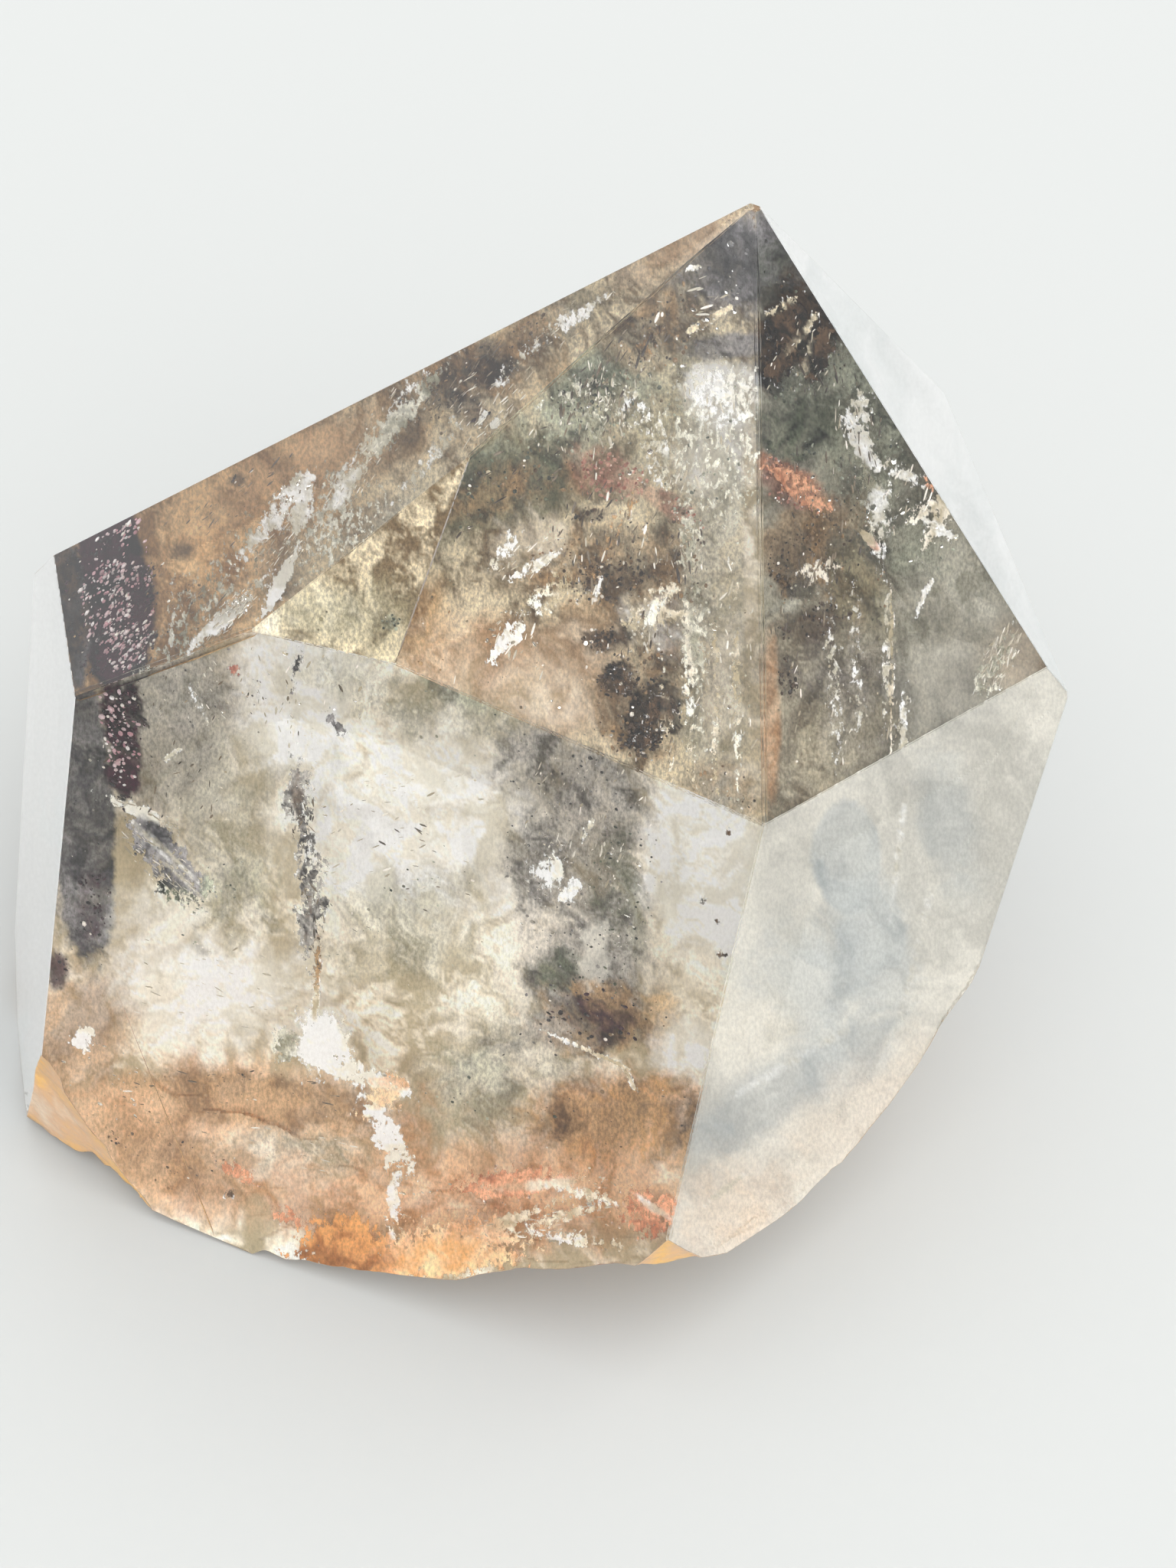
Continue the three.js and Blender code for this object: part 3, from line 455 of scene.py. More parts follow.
FIELD_CELLS = 64
BROAD_OCTAVES = 4


def smooth(low, high, value):
    share = np.clip((value - low) / (high - low), 0, 1)
    return share * share * (3 - 2 * share)


def ripple(x, y, seed):
    """Smooth random heights from 0 to 1, one unit wide."""
    heights = np.random.default_rng(seed).random((FIELD_CELLS, FIELD_CELLS))
    column = np.floor(x).astype(int)
    row = np.floor(y).astype(int)
    u = smooth(0, 1, x - column)
    v = smooth(0, 1, y - row)
    corners = [heights[(row + j) % FIELD_CELLS, (column + i) % FIELD_CELLS] for j in (0, 1) for i in (0, 1)]
    upper = corners[0] + (corners[1] - corners[0]) * u
    lower = corners[2] + (corners[3] - corners[2]) * u
    return upper + (lower - upper) * v


def mottle(x, y, width, seed, octaves=5, roughness=0.6):
    """Fractal mottles from 0 to 1, the widest of them of the given width."""
    total = 0
    weight = 0
    for octave in range(octaves):
        share = roughness**octave
        total = total + share * ripple(x / width * 2**octave, y / width * 2**octave, seed + octave)
        weight += share
    return total / weight


# Places inside the crystal, as the main view shows them

MERGE_DISTANCE = 2e-5
FLAT_ANGLE = math.radians(0.6)
FACE_SEARCH_ANGLE = math.radians(6)
LEVEL_REACH = 0.06 * MM
LOW_ANGLE = math.radians(12)
POLISHED_AREA = 14 * MM**2
TIP_ZONE = 1 * MM
FACES_DOWN = -0.2
RAY_START = 5e-5
LEAST_SQUARE = 1e-18
VIEW_TURN = np.array(CAMERA_TURN)


def merged_solid():
    """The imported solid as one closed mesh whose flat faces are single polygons."""
    solid = bmesh.new()
    solid.from_mesh(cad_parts[NODE].data)
    bmesh.ops.remove_doubles(solid, verts=solid.verts, dist=MERGE_DISTANCE)
    bmesh.ops.dissolve_limit(solid, angle_limit=FLAT_ANGLE, verts=solid.verts, edges=solid.edges)
    solid.normal_update()
    return solid


class PolishedFace:
    """A flat face of the crystal, and what the main view sees through it."""

    def __init__(self, solid, tree, looks):
        towards = Vector(looks).normalized()
        alike = [f for f in solid.faces if f.normal.angle(towards) < FACE_SEARCH_ANGLE]
        largest = max(alike, key=lambda f: f.calc_area())
        middle, normal = largest.calc_center_median(), largest.normal
        level = {f for f in solid.faces if all(abs((v.co - middle) @ normal) < LEVEL_REACH for v in f.verts)}
        outline = [e for f in level for e in f.edges if not level.issuperset(e.link_faces)]
        self.tree = tree
        self.normal = np.array(normal)
        self.starts, self.ends = (np.array([e.verts[i].co for e in outline]) for i in (0, 1))
        self.middle = np.array(middle)

    def entries(self, x, y):
        """Where the rays through some pixels meet the plane of the face."""
        across = (x - PICTURE_WIDTH / 2) / FOCAL_PIXELS
        up = (PICTURE_HEIGHT / 2 - y) / FOCAL_PIXELS
        rays = np.stack([across, up, np.full_like(across, -1.0)], axis=1) @ VIEW_TURN.T
        camera = np.array(CAMERA_PLACE)
        distance = (self.middle - camera) @ self.normal / (rays @ self.normal)
        return camera + rays * distance[:, None]

    def picture_box(self):
        """The box of the face in the picture: the least and the greatest x and y."""
        seen = (np.concatenate([self.starts, self.ends]) - np.array(CAMERA_PLACE)) @ VIEW_TURN
        x = PICTURE_WIDTH / 2 - seen[:, 0] / seen[:, 2] * FOCAL_PIXELS
        y = PICTURE_HEIGHT / 2 + seen[:, 1] / seen[:, 2] * FOCAL_PIXELS
        return x.min(), x.max(), y.min(), y.max()

    def bent_ways(self, places):
        """The way that the main view's rays go on inside the quartz, from places on the face."""
        rays = places - np.array(CAMERA_PLACE)
        rays /= np.linalg.norm(rays, axis=1)[:, None]
        slowing = 1 / QUARTZ_IOR
        incidence = -(rays @ self.normal)
        inside = np.sqrt(1 - slowing**2 * (1 - incidence**2))
        return slowing * rays + (slowing * incidence - inside)[:, None] * self.normal

    def nearest_border(self, places):
        """The nearest point of the face's outline to each place, and how far it is."""
        nearest = places.copy()
        best = np.full(len(places), np.inf)
        for a, b in zip(self.starts, self.ends):
            side = b - a
            share = np.clip((places - a) @ side / max(side @ side, LEAST_SQUARE), 0, 1)
            point = a + share[:, None] * side
            distance = np.linalg.norm(places - point, axis=1)
            closer = distance < best
            nearest[closer] = point[closer]
            best[closer] = distance[closer]
        return nearest, best

    def holds(self, places):
        """True for the places inside the face's outline."""
        right = np.cross(self.normal, (0.0, 0.0, 1.0))
        right /= np.linalg.norm(right)
        up = np.cross(right, self.normal)
        px, py = places @ right, places @ up
        inside = np.zeros(len(places), bool)
        for ax, ay, bx, by in zip(self.starts @ right, self.starts @ up, self.ends @ right, self.ends @ up):
            if ay != by:
                crosses = (ay > py) != (by > py)
                inside ^= crosses & (px < ax + (py - ay) * (bx - ax) / (by - ay))
        return inside

    def room(self, places, ways):
        """How far the quartz goes on from each place."""
        distances = []
        for place, way in zip(places, ways):
            way = Vector(way)
            distances.append(self.tree.ray_cast(Vector(place) + way * RAY_START, way)[3] or 0.0)
        return np.array(distances)


def polished_faces():
    solid = merged_solid()
    tree = BVHTree.FromBMesh(solid)
    faces = {name: PolishedFace(solid, tree, looks) for name, looks in FACE_LOOKS.items()}
    solid.free()
    return faces


class CrystalSettings(bpy.types.PropertyGroup):
    """What can be set of the crystal"""

    edge_wear: length("Edge wear", "Width that the polish took off each edge", 0.1 * MM)
    grit: length("Grit", "Depth of the fine relief on broken quartz", 0.16 * MM)
    grit_width: length("Grit width", "Width of one grain of broken quartz", 0.9 * MM)
    smoke: FloatVectorProperty(
        name="Smoke", description="Colour that thick quartz takes", subtype="COLOR",
        default=linear_colour("#e9dfd0")[:3],
    )
    smoke_density: FloatProperty(
        name="Smoke density", description="How fast thick quartz takes its colour, per metre", default=9.0
    )


def finish_quartz(tree, settings, looks):
    """Quartz as a shader, with its index and its smoke, and what differs between its surfaces."""
    shader = add_node(tree, "ShaderNodeBsdfPrincipled", {"IOR": QUARTZ_IOR, **looks})
    smoke = add_node(
        tree, "ShaderNodeVolumeAbsorption", {"Color": [*settings.smoke, 1], "Density": settings.smoke_density}
    )
    add_node(
        tree, "ShaderNodeOutputMaterial", {"Surface": shader.outputs["BSDF"], "Volume": smoke.outputs["Volume"]}
    )


def clear_quartz(settings):
    """Rock crystal, lapped and polished: it bends and mirrors light, and hardly colours it."""
    material, tree = new_material("clear_quartz")
    place = add_node(tree, "ShaderNodeTexCoord").outputs["Object"]
    polish = add_node(tree, "ShaderNodeTexNoise", {"Vector": place, "Scale": 1 / (6 * MM), "Detail": 2.0})
    wave = add_node(
        tree, "ShaderNodeBump", {"Height": polish.outputs["Fac"], "Strength": 0.12, "Distance": 0.02 * MM}
    )
    finish_quartz(tree, settings, {
        "Base Color": linear_colour("#ffffff"), "Roughness": 0.0, "Transmission Weight": 1.0,
        "Normal": wave.outputs["Normal"],
    })
    return material


def stained_fracture(settings):
    """Broken quartz under iron stain: rough, sugary, part see-through, in peach, honey and rust."""
    material, tree = new_material("stained_fracture")
    place = add_node(tree, "ShaderNodeTexCoord").outputs["Object"]
    stain = add_node(
        tree, "ShaderNodeTexNoise", {"Vector": place, "Scale": 1 / (11 * MM), "Detail": 6.0, "Roughness": 0.62}
    )
    ramp = add_node(tree, "ShaderNodeValToRGB", {"Fac": stain.outputs["Fac"]})
    bands = ((0.30, "#f3e7d2"), (0.42, "#dfb58c"), (0.50, "#f0bd68"), (0.57, "#dfb58c"), (0.66, "#c96f47"))
    while len(ramp.color_ramp.elements) < len(bands):
        ramp.color_ramp.elements.new(1.0)
    for element, (position, tone) in zip(ramp.color_ramp.elements, bands):
        element.position = position
        element.color = linear_colour(tone)
    sugar = add_node(
        tree, "ShaderNodeTexVoronoi", {"Vector": place, "Scale": 1 / (0.7 * MM)}, feature="DISTANCE_TO_EDGE"
    )
    grit = add_node(
        tree, "ShaderNodeTexNoise", {"Vector": place, "Scale": 1 / (0.5 * MM), "Detail": 4.0, "Roughness": 0.7}
    )
    relief = add_node(
        tree, "ShaderNodeMath", {0: sugar.outputs["Distance"], 1: grit.outputs["Fac"]}, operation="ADD"
    )
    bump = add_node(
        tree, "ShaderNodeBump", {"Height": relief.outputs["Value"], "Strength": 0.6, "Distance": 0.25 * MM}
    )
    finish_quartz(tree, settings, {
        "Base Color": ramp.outputs["Color"], "Roughness": 0.42, "Transmission Weight": 0.55,
        "Normal": bump.outputs["Normal"],
    })
    return material


ROUGH_CUTS = 2
GRIT_DIMENSION = 1.0
GRIT_LACUNARITY = 2.0
GRIT_OCTAVES = 3
GRIT_SHARE = 0.5
SORTING_WAY = Vector((1.0, 3.7, 13.1))


def is_polished(face, top):
    """Polished faces are large and don't look down; the worn tip is small, but highest."""
    near_tip = face.calc_center_median().z > top - TIP_ZONE
    return near_tip or (face.calc_area() > POLISHED_AREA and face.normal.z > FACES_DOWN)


def roughen(solid, rough, settings):
    """Cuts the broken faces finer, and sinks fine grit into them."""
    edges = list(dict.fromkeys(e for f in rough for e in f.edges))
    bmesh.ops.subdivide_edges(solid, edges=edges, cuts=ROUGH_CUTS, use_grid_fill=True)
    mark = solid.faces.layers.int["rough"]
    solid.normal_update()
    for vertex in solid.verts:
        if all(f[mark] for f in vertex.link_faces):
            place = vertex.co / settings.grit_width
            depth = GRIT_SHARE * noise.multi_fractal(place, GRIT_DIMENSION, GRIT_LACUNARITY, GRIT_OCTAVES)
            vertex.co -= vertex.normal * settings.grit * min(1.0, max(0.0, depth))


def crystal_body(settings):
    solid = merged_solid()
    mark = solid.faces.layers.int.new("rough")
    top = max(v.co.z for v in solid.verts)
    for face in solid.faces:
        face[mark] = not is_polished(face, top)
    bmesh.ops.triangulate(solid, faces=[f for f in solid.faces if f[mark]])
    roughen(solid, [f for f in solid.faces if f[mark]], settings)
    worn = [e for e in solid.edges if not any(f[mark] for f in e.link_faces) and e.calc_face_angle() > LOW_ANGLE]
    bmesh.ops.bevel(
        solid, geom=worn, offset=settings.edge_wear, segments=3, profile=0.5, affect="EDGES", clamp_overlap=True
    )
    for face in solid.faces:
        face.material_index = face[mark]
        face.smooth = bool(face[mark])
    for edge in solid.edges:
        edge.smooth = len({f[mark] for f in edge.link_faces}) == 1
    bmesh.ops.triangulate(solid, faces=solid.faces)
    # The steps above leave the faces in another order each run
    solid.faces.sort(key=lambda f: f.calc_center_median() @ SORTING_WAY)
    mesh = bpy.data.meshes.new("crystal")
    solid.to_mesh(mesh)
    solid.free()
    mesh.materials.append(clear_quartz(settings))
    mesh.materials.append(stained_fracture(settings))
    return add_object("crystal", mesh)


class LODOLITE_OT_crystal(bpy.types.Operator):
    """Builds the clear crystal with worn edges and a gritty stained base"""

    bl_idname = "lodolite.crystal"
    bl_label = "Crystal"

    def execute(self, context):
        body = crystal_body(context.scene.lodolite_crystal)
        mount_piece(body)
        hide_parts(NODE)
        return {"FINISHED"}


class GardenSettings(bpy.types.PropertyGroup):
    """What can be set of the minerals inside the crystal"""

    rim: FloatProperty(name="Rim", description="Share of its depth that a film has at the border", default=0.08)
    descent: length("Descent", "Distance from the border where a film reaches its depth", 6 * MM)
    clearance: length("Clearance", "Thickness of quartz under which films lie less deep", 22 * MM)
    grain_size: FloatProperty(name="Grain size", description="Size of all grains beside the real one", default=1.0)
    seed: IntProperty(name="Seed", description="Start of the random numbers", default=7)


BARE = 0.02
RELIEF_WIDTH = 150
RELIEF_RANGE = (0.65, 0.7)
SNAP_STEPS = 2.2
INSET = 0.05 * MM
WAVE_WIDTH = 40
SWIRL_WIDTH = 90
SWIRL = 46
WAVE_ROUGHNESS = 0.75
GAP_BORDER = (0.46, 0.58)
TEXTURE_BORDER = (0.36, 0.64)
TEXTURE_ROUGHNESS = 0.7
VEIN_WIDTH = 0.03
VEIN_SPACINGS = (1.4, 0.6)

# How far the starts of the random numbers lie apart
FILM_SEEDS = 1000
PATCH_SEEDS = 30
SWIRL_SEEDS = (500, 600)
GAP_SEED = 10
VEIN_SEED = 15
TEXTURE_SEED = 20


class Lattice:
    """Places of a film, with the pixels that show them."""

    def __init__(self, face, film, settings, seed):
        x0, x1, y0, y1 = face.picture_box()
        step = film.spacing
        columns = np.arange(x0 - step, x1 + 2 * step, step)
        rows = np.arange(y0 - step, y1 + 2 * step, step)
        x, y = (a.ravel() for a in np.meshgrid(columns, rows))
        entries = face.entries(x, y)
        inside = face.holds(entries)
        nearest, border = face.nearest_border(entries)
        snapped = ~inside & (border < SNAP_STEPS * np.linalg.norm(entries[1] - entries[0]))
        inwards = face.middle - nearest
        inwards /= np.linalg.norm(inwards, axis=1)[:, None]
        entries[snapped] = nearest[snapped] + INSET * inwards[snapped]
        border[snapped] = 0.0
        used = inside | snapped
        quads = quads_of_grid(len(columns), len(rows))
        quads = quads[used[quads].all(axis=1) & inside[quads].any(axis=1)]
        keep, quads = np.unique(quads, return_inverse=True)
        self.quads = quads.reshape(-1, 4)
        self.x, self.y = x[keep], y[keep]
        entries = entries[keep]
        ways, depths = film_depths(face, film, settings, seed, self.x, self.y, entries, border[keep])
        self.places = entries + ways * depths[:, None]
        self.tint = np.ones((len(keep), 4))
        self.cover = np.zeros(len(keep))
        swirl = [2 * mottle(self.x, self.y, SWIRL_WIDTH, seed + more, BROAD_OCTAVES) - 1 for more in SWIRL_SEEDS]
        self.drift_x, self.drift_y = self.x + SWIRL * swirl[0], self.y + SWIRL * swirl[1]

    def drop_bare_cells(self):
        cells = self.cover[self.quads].max(axis=1) > BARE
        keep, quads = np.unique(self.quads[cells], return_inverse=True)
        self.quads = quads.reshape(-1, 4)
        self.x, self.y, self.places = self.x[keep], self.y[keep], self.places[keep]
        self.tint, self.cover = self.tint[keep], self.cover[keep]


def film_depths(face, film, settings, seed, x, y, entries, border):
    """The ways in from some places on a face, and how far in the film lies."""
    ways = face.bent_ways(entries)
    low, span = RELIEF_RANGE
    relief = low + span * mottle(x, y, RELIEF_WIDTH, seed, BROAD_OCTAVES)
    descent = np.minimum(1, settings.rim + border / settings.descent)
    clearance = np.minimum(1, face.room(entries, ways) / settings.clearance)
    return ways, film.depth * relief * descent * clearance


def quads_of_grid(columns, rows):
    corner = np.arange(columns * rows).reshape(rows, columns)
    quads = np.stack([corner[:-1, :-1], corner[:-1, 1:], corner[1:, 1:], corner[1:, :-1]], axis=-1)
    return quads.reshape(-1, 4)


def lay_patch(lattice, patch, seed):
    """Lays a patch of mineral over what is already on the film."""
    mineral = patch.mineral
    turn = math.radians(patch.tilt)
    right, up = lattice.x - patch.x, patch.y - lattice.y
    along = right * math.cos(turn) + up * math.sin(turn)
    across = up * math.cos(turn) - right * math.sin(turn)
    reach = np.hypot(along / patch.wide, across / patch.high)
    wave_width = min(WAVE_WIDTH, math.sqrt(patch.wide * patch.high))
    wave = 2 * mottle(lattice.drift_x, lattice.drift_y, wave_width, seed, roughness=WAVE_ROUGHNESS) - 1
    inside = 1 - smooth(1 - patch.soft, 1 + patch.soft, reach + patch.ragged * wave)

    def marks(more, width=1.0, **looks):
        """Mottles of the mineral, drawn out down the view."""
        drawn = lattice.drift_y / mineral.stretch
        return mottle(lattice.drift_x, drawn, width * mineral.mottle, seed + more, **looks)

    gaps = smooth(*GAP_BORDER, marks(GAP_SEED))
    cover = np.minimum(1, patch.cover * inside * (1 - mineral.gaps * gaps))
    broad, narrow = (abs(marks(VEIN_SEED, width, octaves=BROAD_OCTAVES) - 0.5) for width in VEIN_SPACINGS)
    ridges = np.minimum(broad, narrow)
    texture = smooth(*TEXTURE_BORDER, marks(TEXTURE_SEED, roughness=TEXTURE_ROUGHNESS))
    texture = np.clip(texture + mineral.veins * (1 - smooth(0, VEIN_WIDTH, ridges)), 0, 1)[:, None]
    light, dark = (np.array(linear_colour(tone, mineral.fine)) for tone in (mineral.light, mineral.dark))
    colour = dark + (light - dark) * texture
    whole = cover + lattice.cover * (1 - cover)
    share = np.divide(cover, whole, out=np.zeros_like(cover), where=whole > 0)[:, None]
    lattice.tint = lattice.tint * (1 - share) + colour * share
    lattice.cover = whole


def film_mesh(name, lattice):
    mesh = bpy.data.meshes.new(name)
    mesh.from_pydata(lattice.places.tolist(), [], lattice.quads.tolist())
    add_attribute(mesh, "tint", "FLOAT_COLOR", "color", lattice.tint)
    add_attribute(mesh, "cover", "FLOAT", "value", lattice.cover)
    seen = mesh.uv_layers.new(name="seen_mm")
    pixels = np.stack([lattice.x, -lattice.y], axis=1) / PIXELS_PER_MM
    seen.data.foreach_set("uv", pixels[lattice.quads.ravel()].ravel())
    return mesh


# Noise per millimetre, its detail, and its least and greatest value
FILM_GRAIN = (4.6, 3.0, -1.2, 1.2)
FILM_HOLES = (2.4, 4.0, -0.2, 0.6)
FILM_FRINGE = 0.35
FILM_GLOW = 0.1


def mineral_film_and_painted_light():
    """Thin films of chlorite, iron oxides and healed cracks, with painted light and shade in their tones and
    near-white sheets of painted reflection: matt, mottled, part see-through, with ragged holes.
    """
    material, tree = new_material("mineral_film_and_painted_light")
    seen = add_node(tree, "ShaderNodeUVMap", uv_map="seen_mm").outputs["UV"]
    drawn = add_node(tree, "ShaderNodeMapping", {"Vector": seen, "Scale": (1.0, 0.6, 1.0)}).outputs["Vector"]
    paint = add_node(tree, "ShaderNodeAttribute", attribute_name="tint").outputs
    cover = add_node(tree, "ShaderNodeAttribute", attribute_name="cover").outputs["Fac"]
    fields = []
    for scale, detail, least, most in (FILM_GRAIN, FILM_HOLES):
        field = add_node(
            tree, "ShaderNodeTexNoise", {"Vector": drawn, "Scale": scale, "Detail": detail, "Roughness": 0.7},
            noise_dimensions="2D",
        )
        spread = add_node(
            tree, "ShaderNodeMapRange",
            {"Value": field.outputs["Fac"], "From Min": 0.34, "From Max": 0.66, "To Min": least, "To Max": most},
        )
        fields.append(spread.outputs["Result"])
    grain, begin = fields
    value = add_node(tree, "ShaderNodeMath", {0: grain, 1: paint["Alpha"], 2: 1.0}, operation="MULTIPLY_ADD")
    colour = add_node(
        tree, "ShaderNodeVectorMath", {0: paint["Color"], 1: value.outputs["Value"]}, operation="MULTIPLY"
    ).outputs["Vector"]
    end = add_node(tree, "ShaderNodeMath", {0: begin, 1: FILM_FRINGE}, operation="ADD").outputs["Value"]
    alpha = add_node(
        tree, "ShaderNodeMapRange", {"Value": cover, "From Min": begin, "From Max": end},
        interpolation_type="SMOOTHSTEP",
    ).outputs["Result"]
    lit = add_node(
        tree, "ShaderNodeBsdfPrincipled", {"Base Color": colour, "Roughness": 0.8, "Specular IOR Level": 0.2}
    )
    glow = add_node(tree, "ShaderNodeBsdfTranslucent", {"Color": colour})
    film = add_node(
        tree, "ShaderNodeMixShader", {0: FILM_GLOW, 1: lit.outputs["BSDF"], 2: glow.outputs["BSDF"]}
    )
    clear = add_node(tree, "ShaderNodeBsdfTransparent")
    shown = add_node(
        tree, "ShaderNodeMixShader", {0: alpha, 1: clear.outputs["BSDF"], 2: film.outputs["Shader"]}
    )
    add_node(tree, "ShaderNodeOutputMaterial", {"Surface": shown.outputs["Shader"]})
    return material


class LODOLITE_OT_films(bpy.types.Operator):
    """Lays the films of minerals under the polished faces"""

    bl_idname = "lodolite.films"
    bl_label = "Films of minerals"

    def execute(self, context):
        settings = context.scene.lodolite_garden
        faces = polished_faces()
        material = mineral_film_and_painted_light()
        for number, (name, film) in enumerate(FILMS.items()):
            seed = settings.seed + FILM_SEEDS * number
            lattice = Lattice(faces[film.face], film, settings, seed)
            for order, patch in enumerate(film.patches, start=1):
                if patch.cover:
                    lay_patch(lattice, patch, seed + PATCH_SEEDS * order)
            lattice.drop_bare_cells()
            # Painted light and shade: each film's tones are scaled by its gain for the light through its face
            lattice.tint[:, :3] = np.minimum(1, film.pale * lattice.tint[:, :3])
            piece = add_object(name, film_mesh(name, lattice))
            piece.data.materials.append(material)
            mount_piece(piece)
        return {"FINISHED"}


# Loose grains in front of the films

GRAIN_SHARE = (0.5, 0.97)
GRAIN_COVER = 0.45 * MM
GRAIN_SPREAD = 1.15
CLUSTER_WIDTH = 60
CLUSTER_BORDER = (0.40, 0.54)
DARK_POWER = 1.5
# Painted highlight: this share of all loose grains is tinted near-white to stand for glints
PAINTED_GLINT_SHARE = 0.05
PAINTED_GLINT = "#fff7ee"
GRAIN_RADIUS = 1.0
SIZE_SPREAD = 0.5
LARGEST_GRAIN = 1.9
GRAIN_FLATNESS = (0.35, 1.0)
NEEDLES = ("pale_needles", "dark_needles")
NEEDLE_STRETCHES = (1.5, 5.0)
NEEDLE_FAN = math.radians(14)
GLINTS = "crack_glints"
GLINT_THICKNESS = 0.15
GLINTS_LOOK = (0.15, -0.25, 0.95)
GLINT_TILTS = 0.22


def angles_of(rotations):
    """Some rotations as a table of three angles each."""
    return np.array([rotation.to_euler()[:] for rotation in rotations]).reshape(-1, 3)


def scatter_grains(face, film, patch, settings, seed):
    """Grains in front of a patch: their places, tints, turns and sizes."""
    mineral = patch.mineral
    chance = np.random.default_rng(seed)
    reach = GRAIN_SPREAD * np.sqrt(chance.random(patch.grains))
    angle = 2 * math.pi * chance.random(patch.grains)
    along, across = reach * np.cos(angle) * patch.wide, reach * np.sin(angle) * patch.high
    turn = math.radians(patch.tilt)
    x = patch.x + along * math.cos(turn) - across * math.sin(turn)
    y = patch.y - along * math.sin(turn) - across * math.cos(turn)
    entries = face.entries(x, y)
    border = face.nearest_border(entries)[1]
    crowd = smooth(*CLUSTER_BORDER, mottle(x, y, CLUSTER_WIDTH, seed, BROAD_OCTAVES))
    clustered = crowd > chance.random(len(x))
    used = face.holds(entries) & (border > GRAIN_COVER) & clustered
    x, y, entries, border = x[used], y[used], entries[used], border[used]
    ways, depths = film_depths(face, film, settings, seed, x, y, entries, border)
    depths = np.maximum(GRAIN_COVER, depths * chance.uniform(*GRAIN_SHARE, len(x)))
    light, dark = (np.array(linear_colour(tone)) for tone in (mineral.light, mineral.dark))
    tints = dark + (light - dark) * chance.random(len(x))[:, None] ** DARK_POWER
    # Painted highlight: a share of the grains take a near-white tint as glints
    tints[chance.random(len(x)) < PAINTED_GLINT_SHARE] = linear_colour(PAINTED_GLINT)
    sizes = np.minimum(LARGEST_GRAIN, chance.lognormal(0, SIZE_SPREAD, len(x)))
    sizes *= mineral.grain * MM * settings.grain_size
    stretches = sizes[:, None] * chance.uniform(*GRAIN_FLATNESS, (len(x), 3))
    turns = chance.uniform(0, 2 * math.pi, (len(x), 3))
    if mineral.piece in NEEDLES:
        stretches[:, 0] = sizes * chance.uniform(*NEEDLE_STRETCHES, len(x))
        fan = turn + chance.normal(0, NEEDLE_FAN, len(x))
        turns = angles_of(CAMERA_TURN @ Matrix.Rotation(angle, 3, "Z") for angle in fan)
    if mineral.piece == GLINTS:
        stretches[:, 2] *= GLINT_THICKNESS
        looks = np.array(GLINTS_LOOK) + chance.normal(0, GLINT_TILTS, (len(x), 3))
        turns = angles_of(Vector(look).to_track_quat("Z", "Y") for look in looks)
    return entries + ways * depths[:, None], tints, turns, stretches


def grain_nodes():
    """Nodes that put one faceted grain on each point of a mesh, by the attributes turn and stretch."""
    tree = bpy.data.node_groups.new("mineral_grains_and_painted_glints", "GeometryNodeTree")
    for name, kind in (("Places", "Geometry"), ("Radius", "Float"), ("Finish", "Material")):
        tree.interface.new_socket(name, in_out="INPUT", socket_type=f"NodeSocket{kind}")
    tree.interface.new_socket("Grains", in_out="OUTPUT", socket_type="NodeSocketGeometry")
    given = add_node(tree, "NodeGroupInput").outputs
    grain = add_node(tree, "GeometryNodeMeshIcoSphere", {"Radius": given["Radius"], "Subdivisions": 1})
    turn, stretch = (
        add_node(tree, "GeometryNodeInputNamedAttribute", {"Name": name}, data_type="FLOAT_VECTOR")
        for name in ("turn", "stretch")
    )
    spread = add_node(
        tree, "GeometryNodeInstanceOnPoints",
        {"Points": given["Places"], "Instance": grain.outputs["Mesh"], "Rotation": turn.outputs["Attribute"],
         "Scale": stretch.outputs["Attribute"]},
    )
    whole = add_node(tree, "GeometryNodeRealizeInstances", {"Geometry": spread.outputs["Instances"]})
    finished = add_node(
        tree, "GeometryNodeSetMaterial", {"Geometry": whole.outputs["Geometry"], "Material": given["Finish"]}
    )
    add_node(tree, "NodeGroupOutput", {"Grains": finished.outputs["Geometry"]})
    return tree


def grown_grains(name, tree, material, places, tints, turns, stretches):
    """A piece of joined grains, as the nodes grow them on a carrier of points."""
    points = bpy.data.meshes.new(name)
    points.from_pydata(places.tolist(), [], [])
    add_attribute(points, "tint", "FLOAT_COLOR", "color", tints)
    add_attribute(points, "turn", "FLOAT_VECTOR", "vector", turns)
    add_attribute(points, "stretch", "FLOAT_VECTOR", "vector", stretches)
    carrier = add_object("carrier", points)
    growth = carrier.modifiers.new("growth", "NODES")
    growth.node_group = tree
    sockets = {item.name: item.identifier for item in tree.interface.items_tree}
    growth[sockets["Radius"]] = GRAIN_RADIUS
    growth[sockets["Finish"]] = material
    graph = bpy.context.evaluated_depsgraph_get()
    grown = bpy.data.meshes.new_from_object(
        carrier.evaluated_get(graph), preserve_all_data_layers=True, depsgraph=graph
    )
    carrier.modifiers.remove(growth)
    bpy.data.objects.remove(carrier)
    grown.name = name
    return add_object(name, grown)


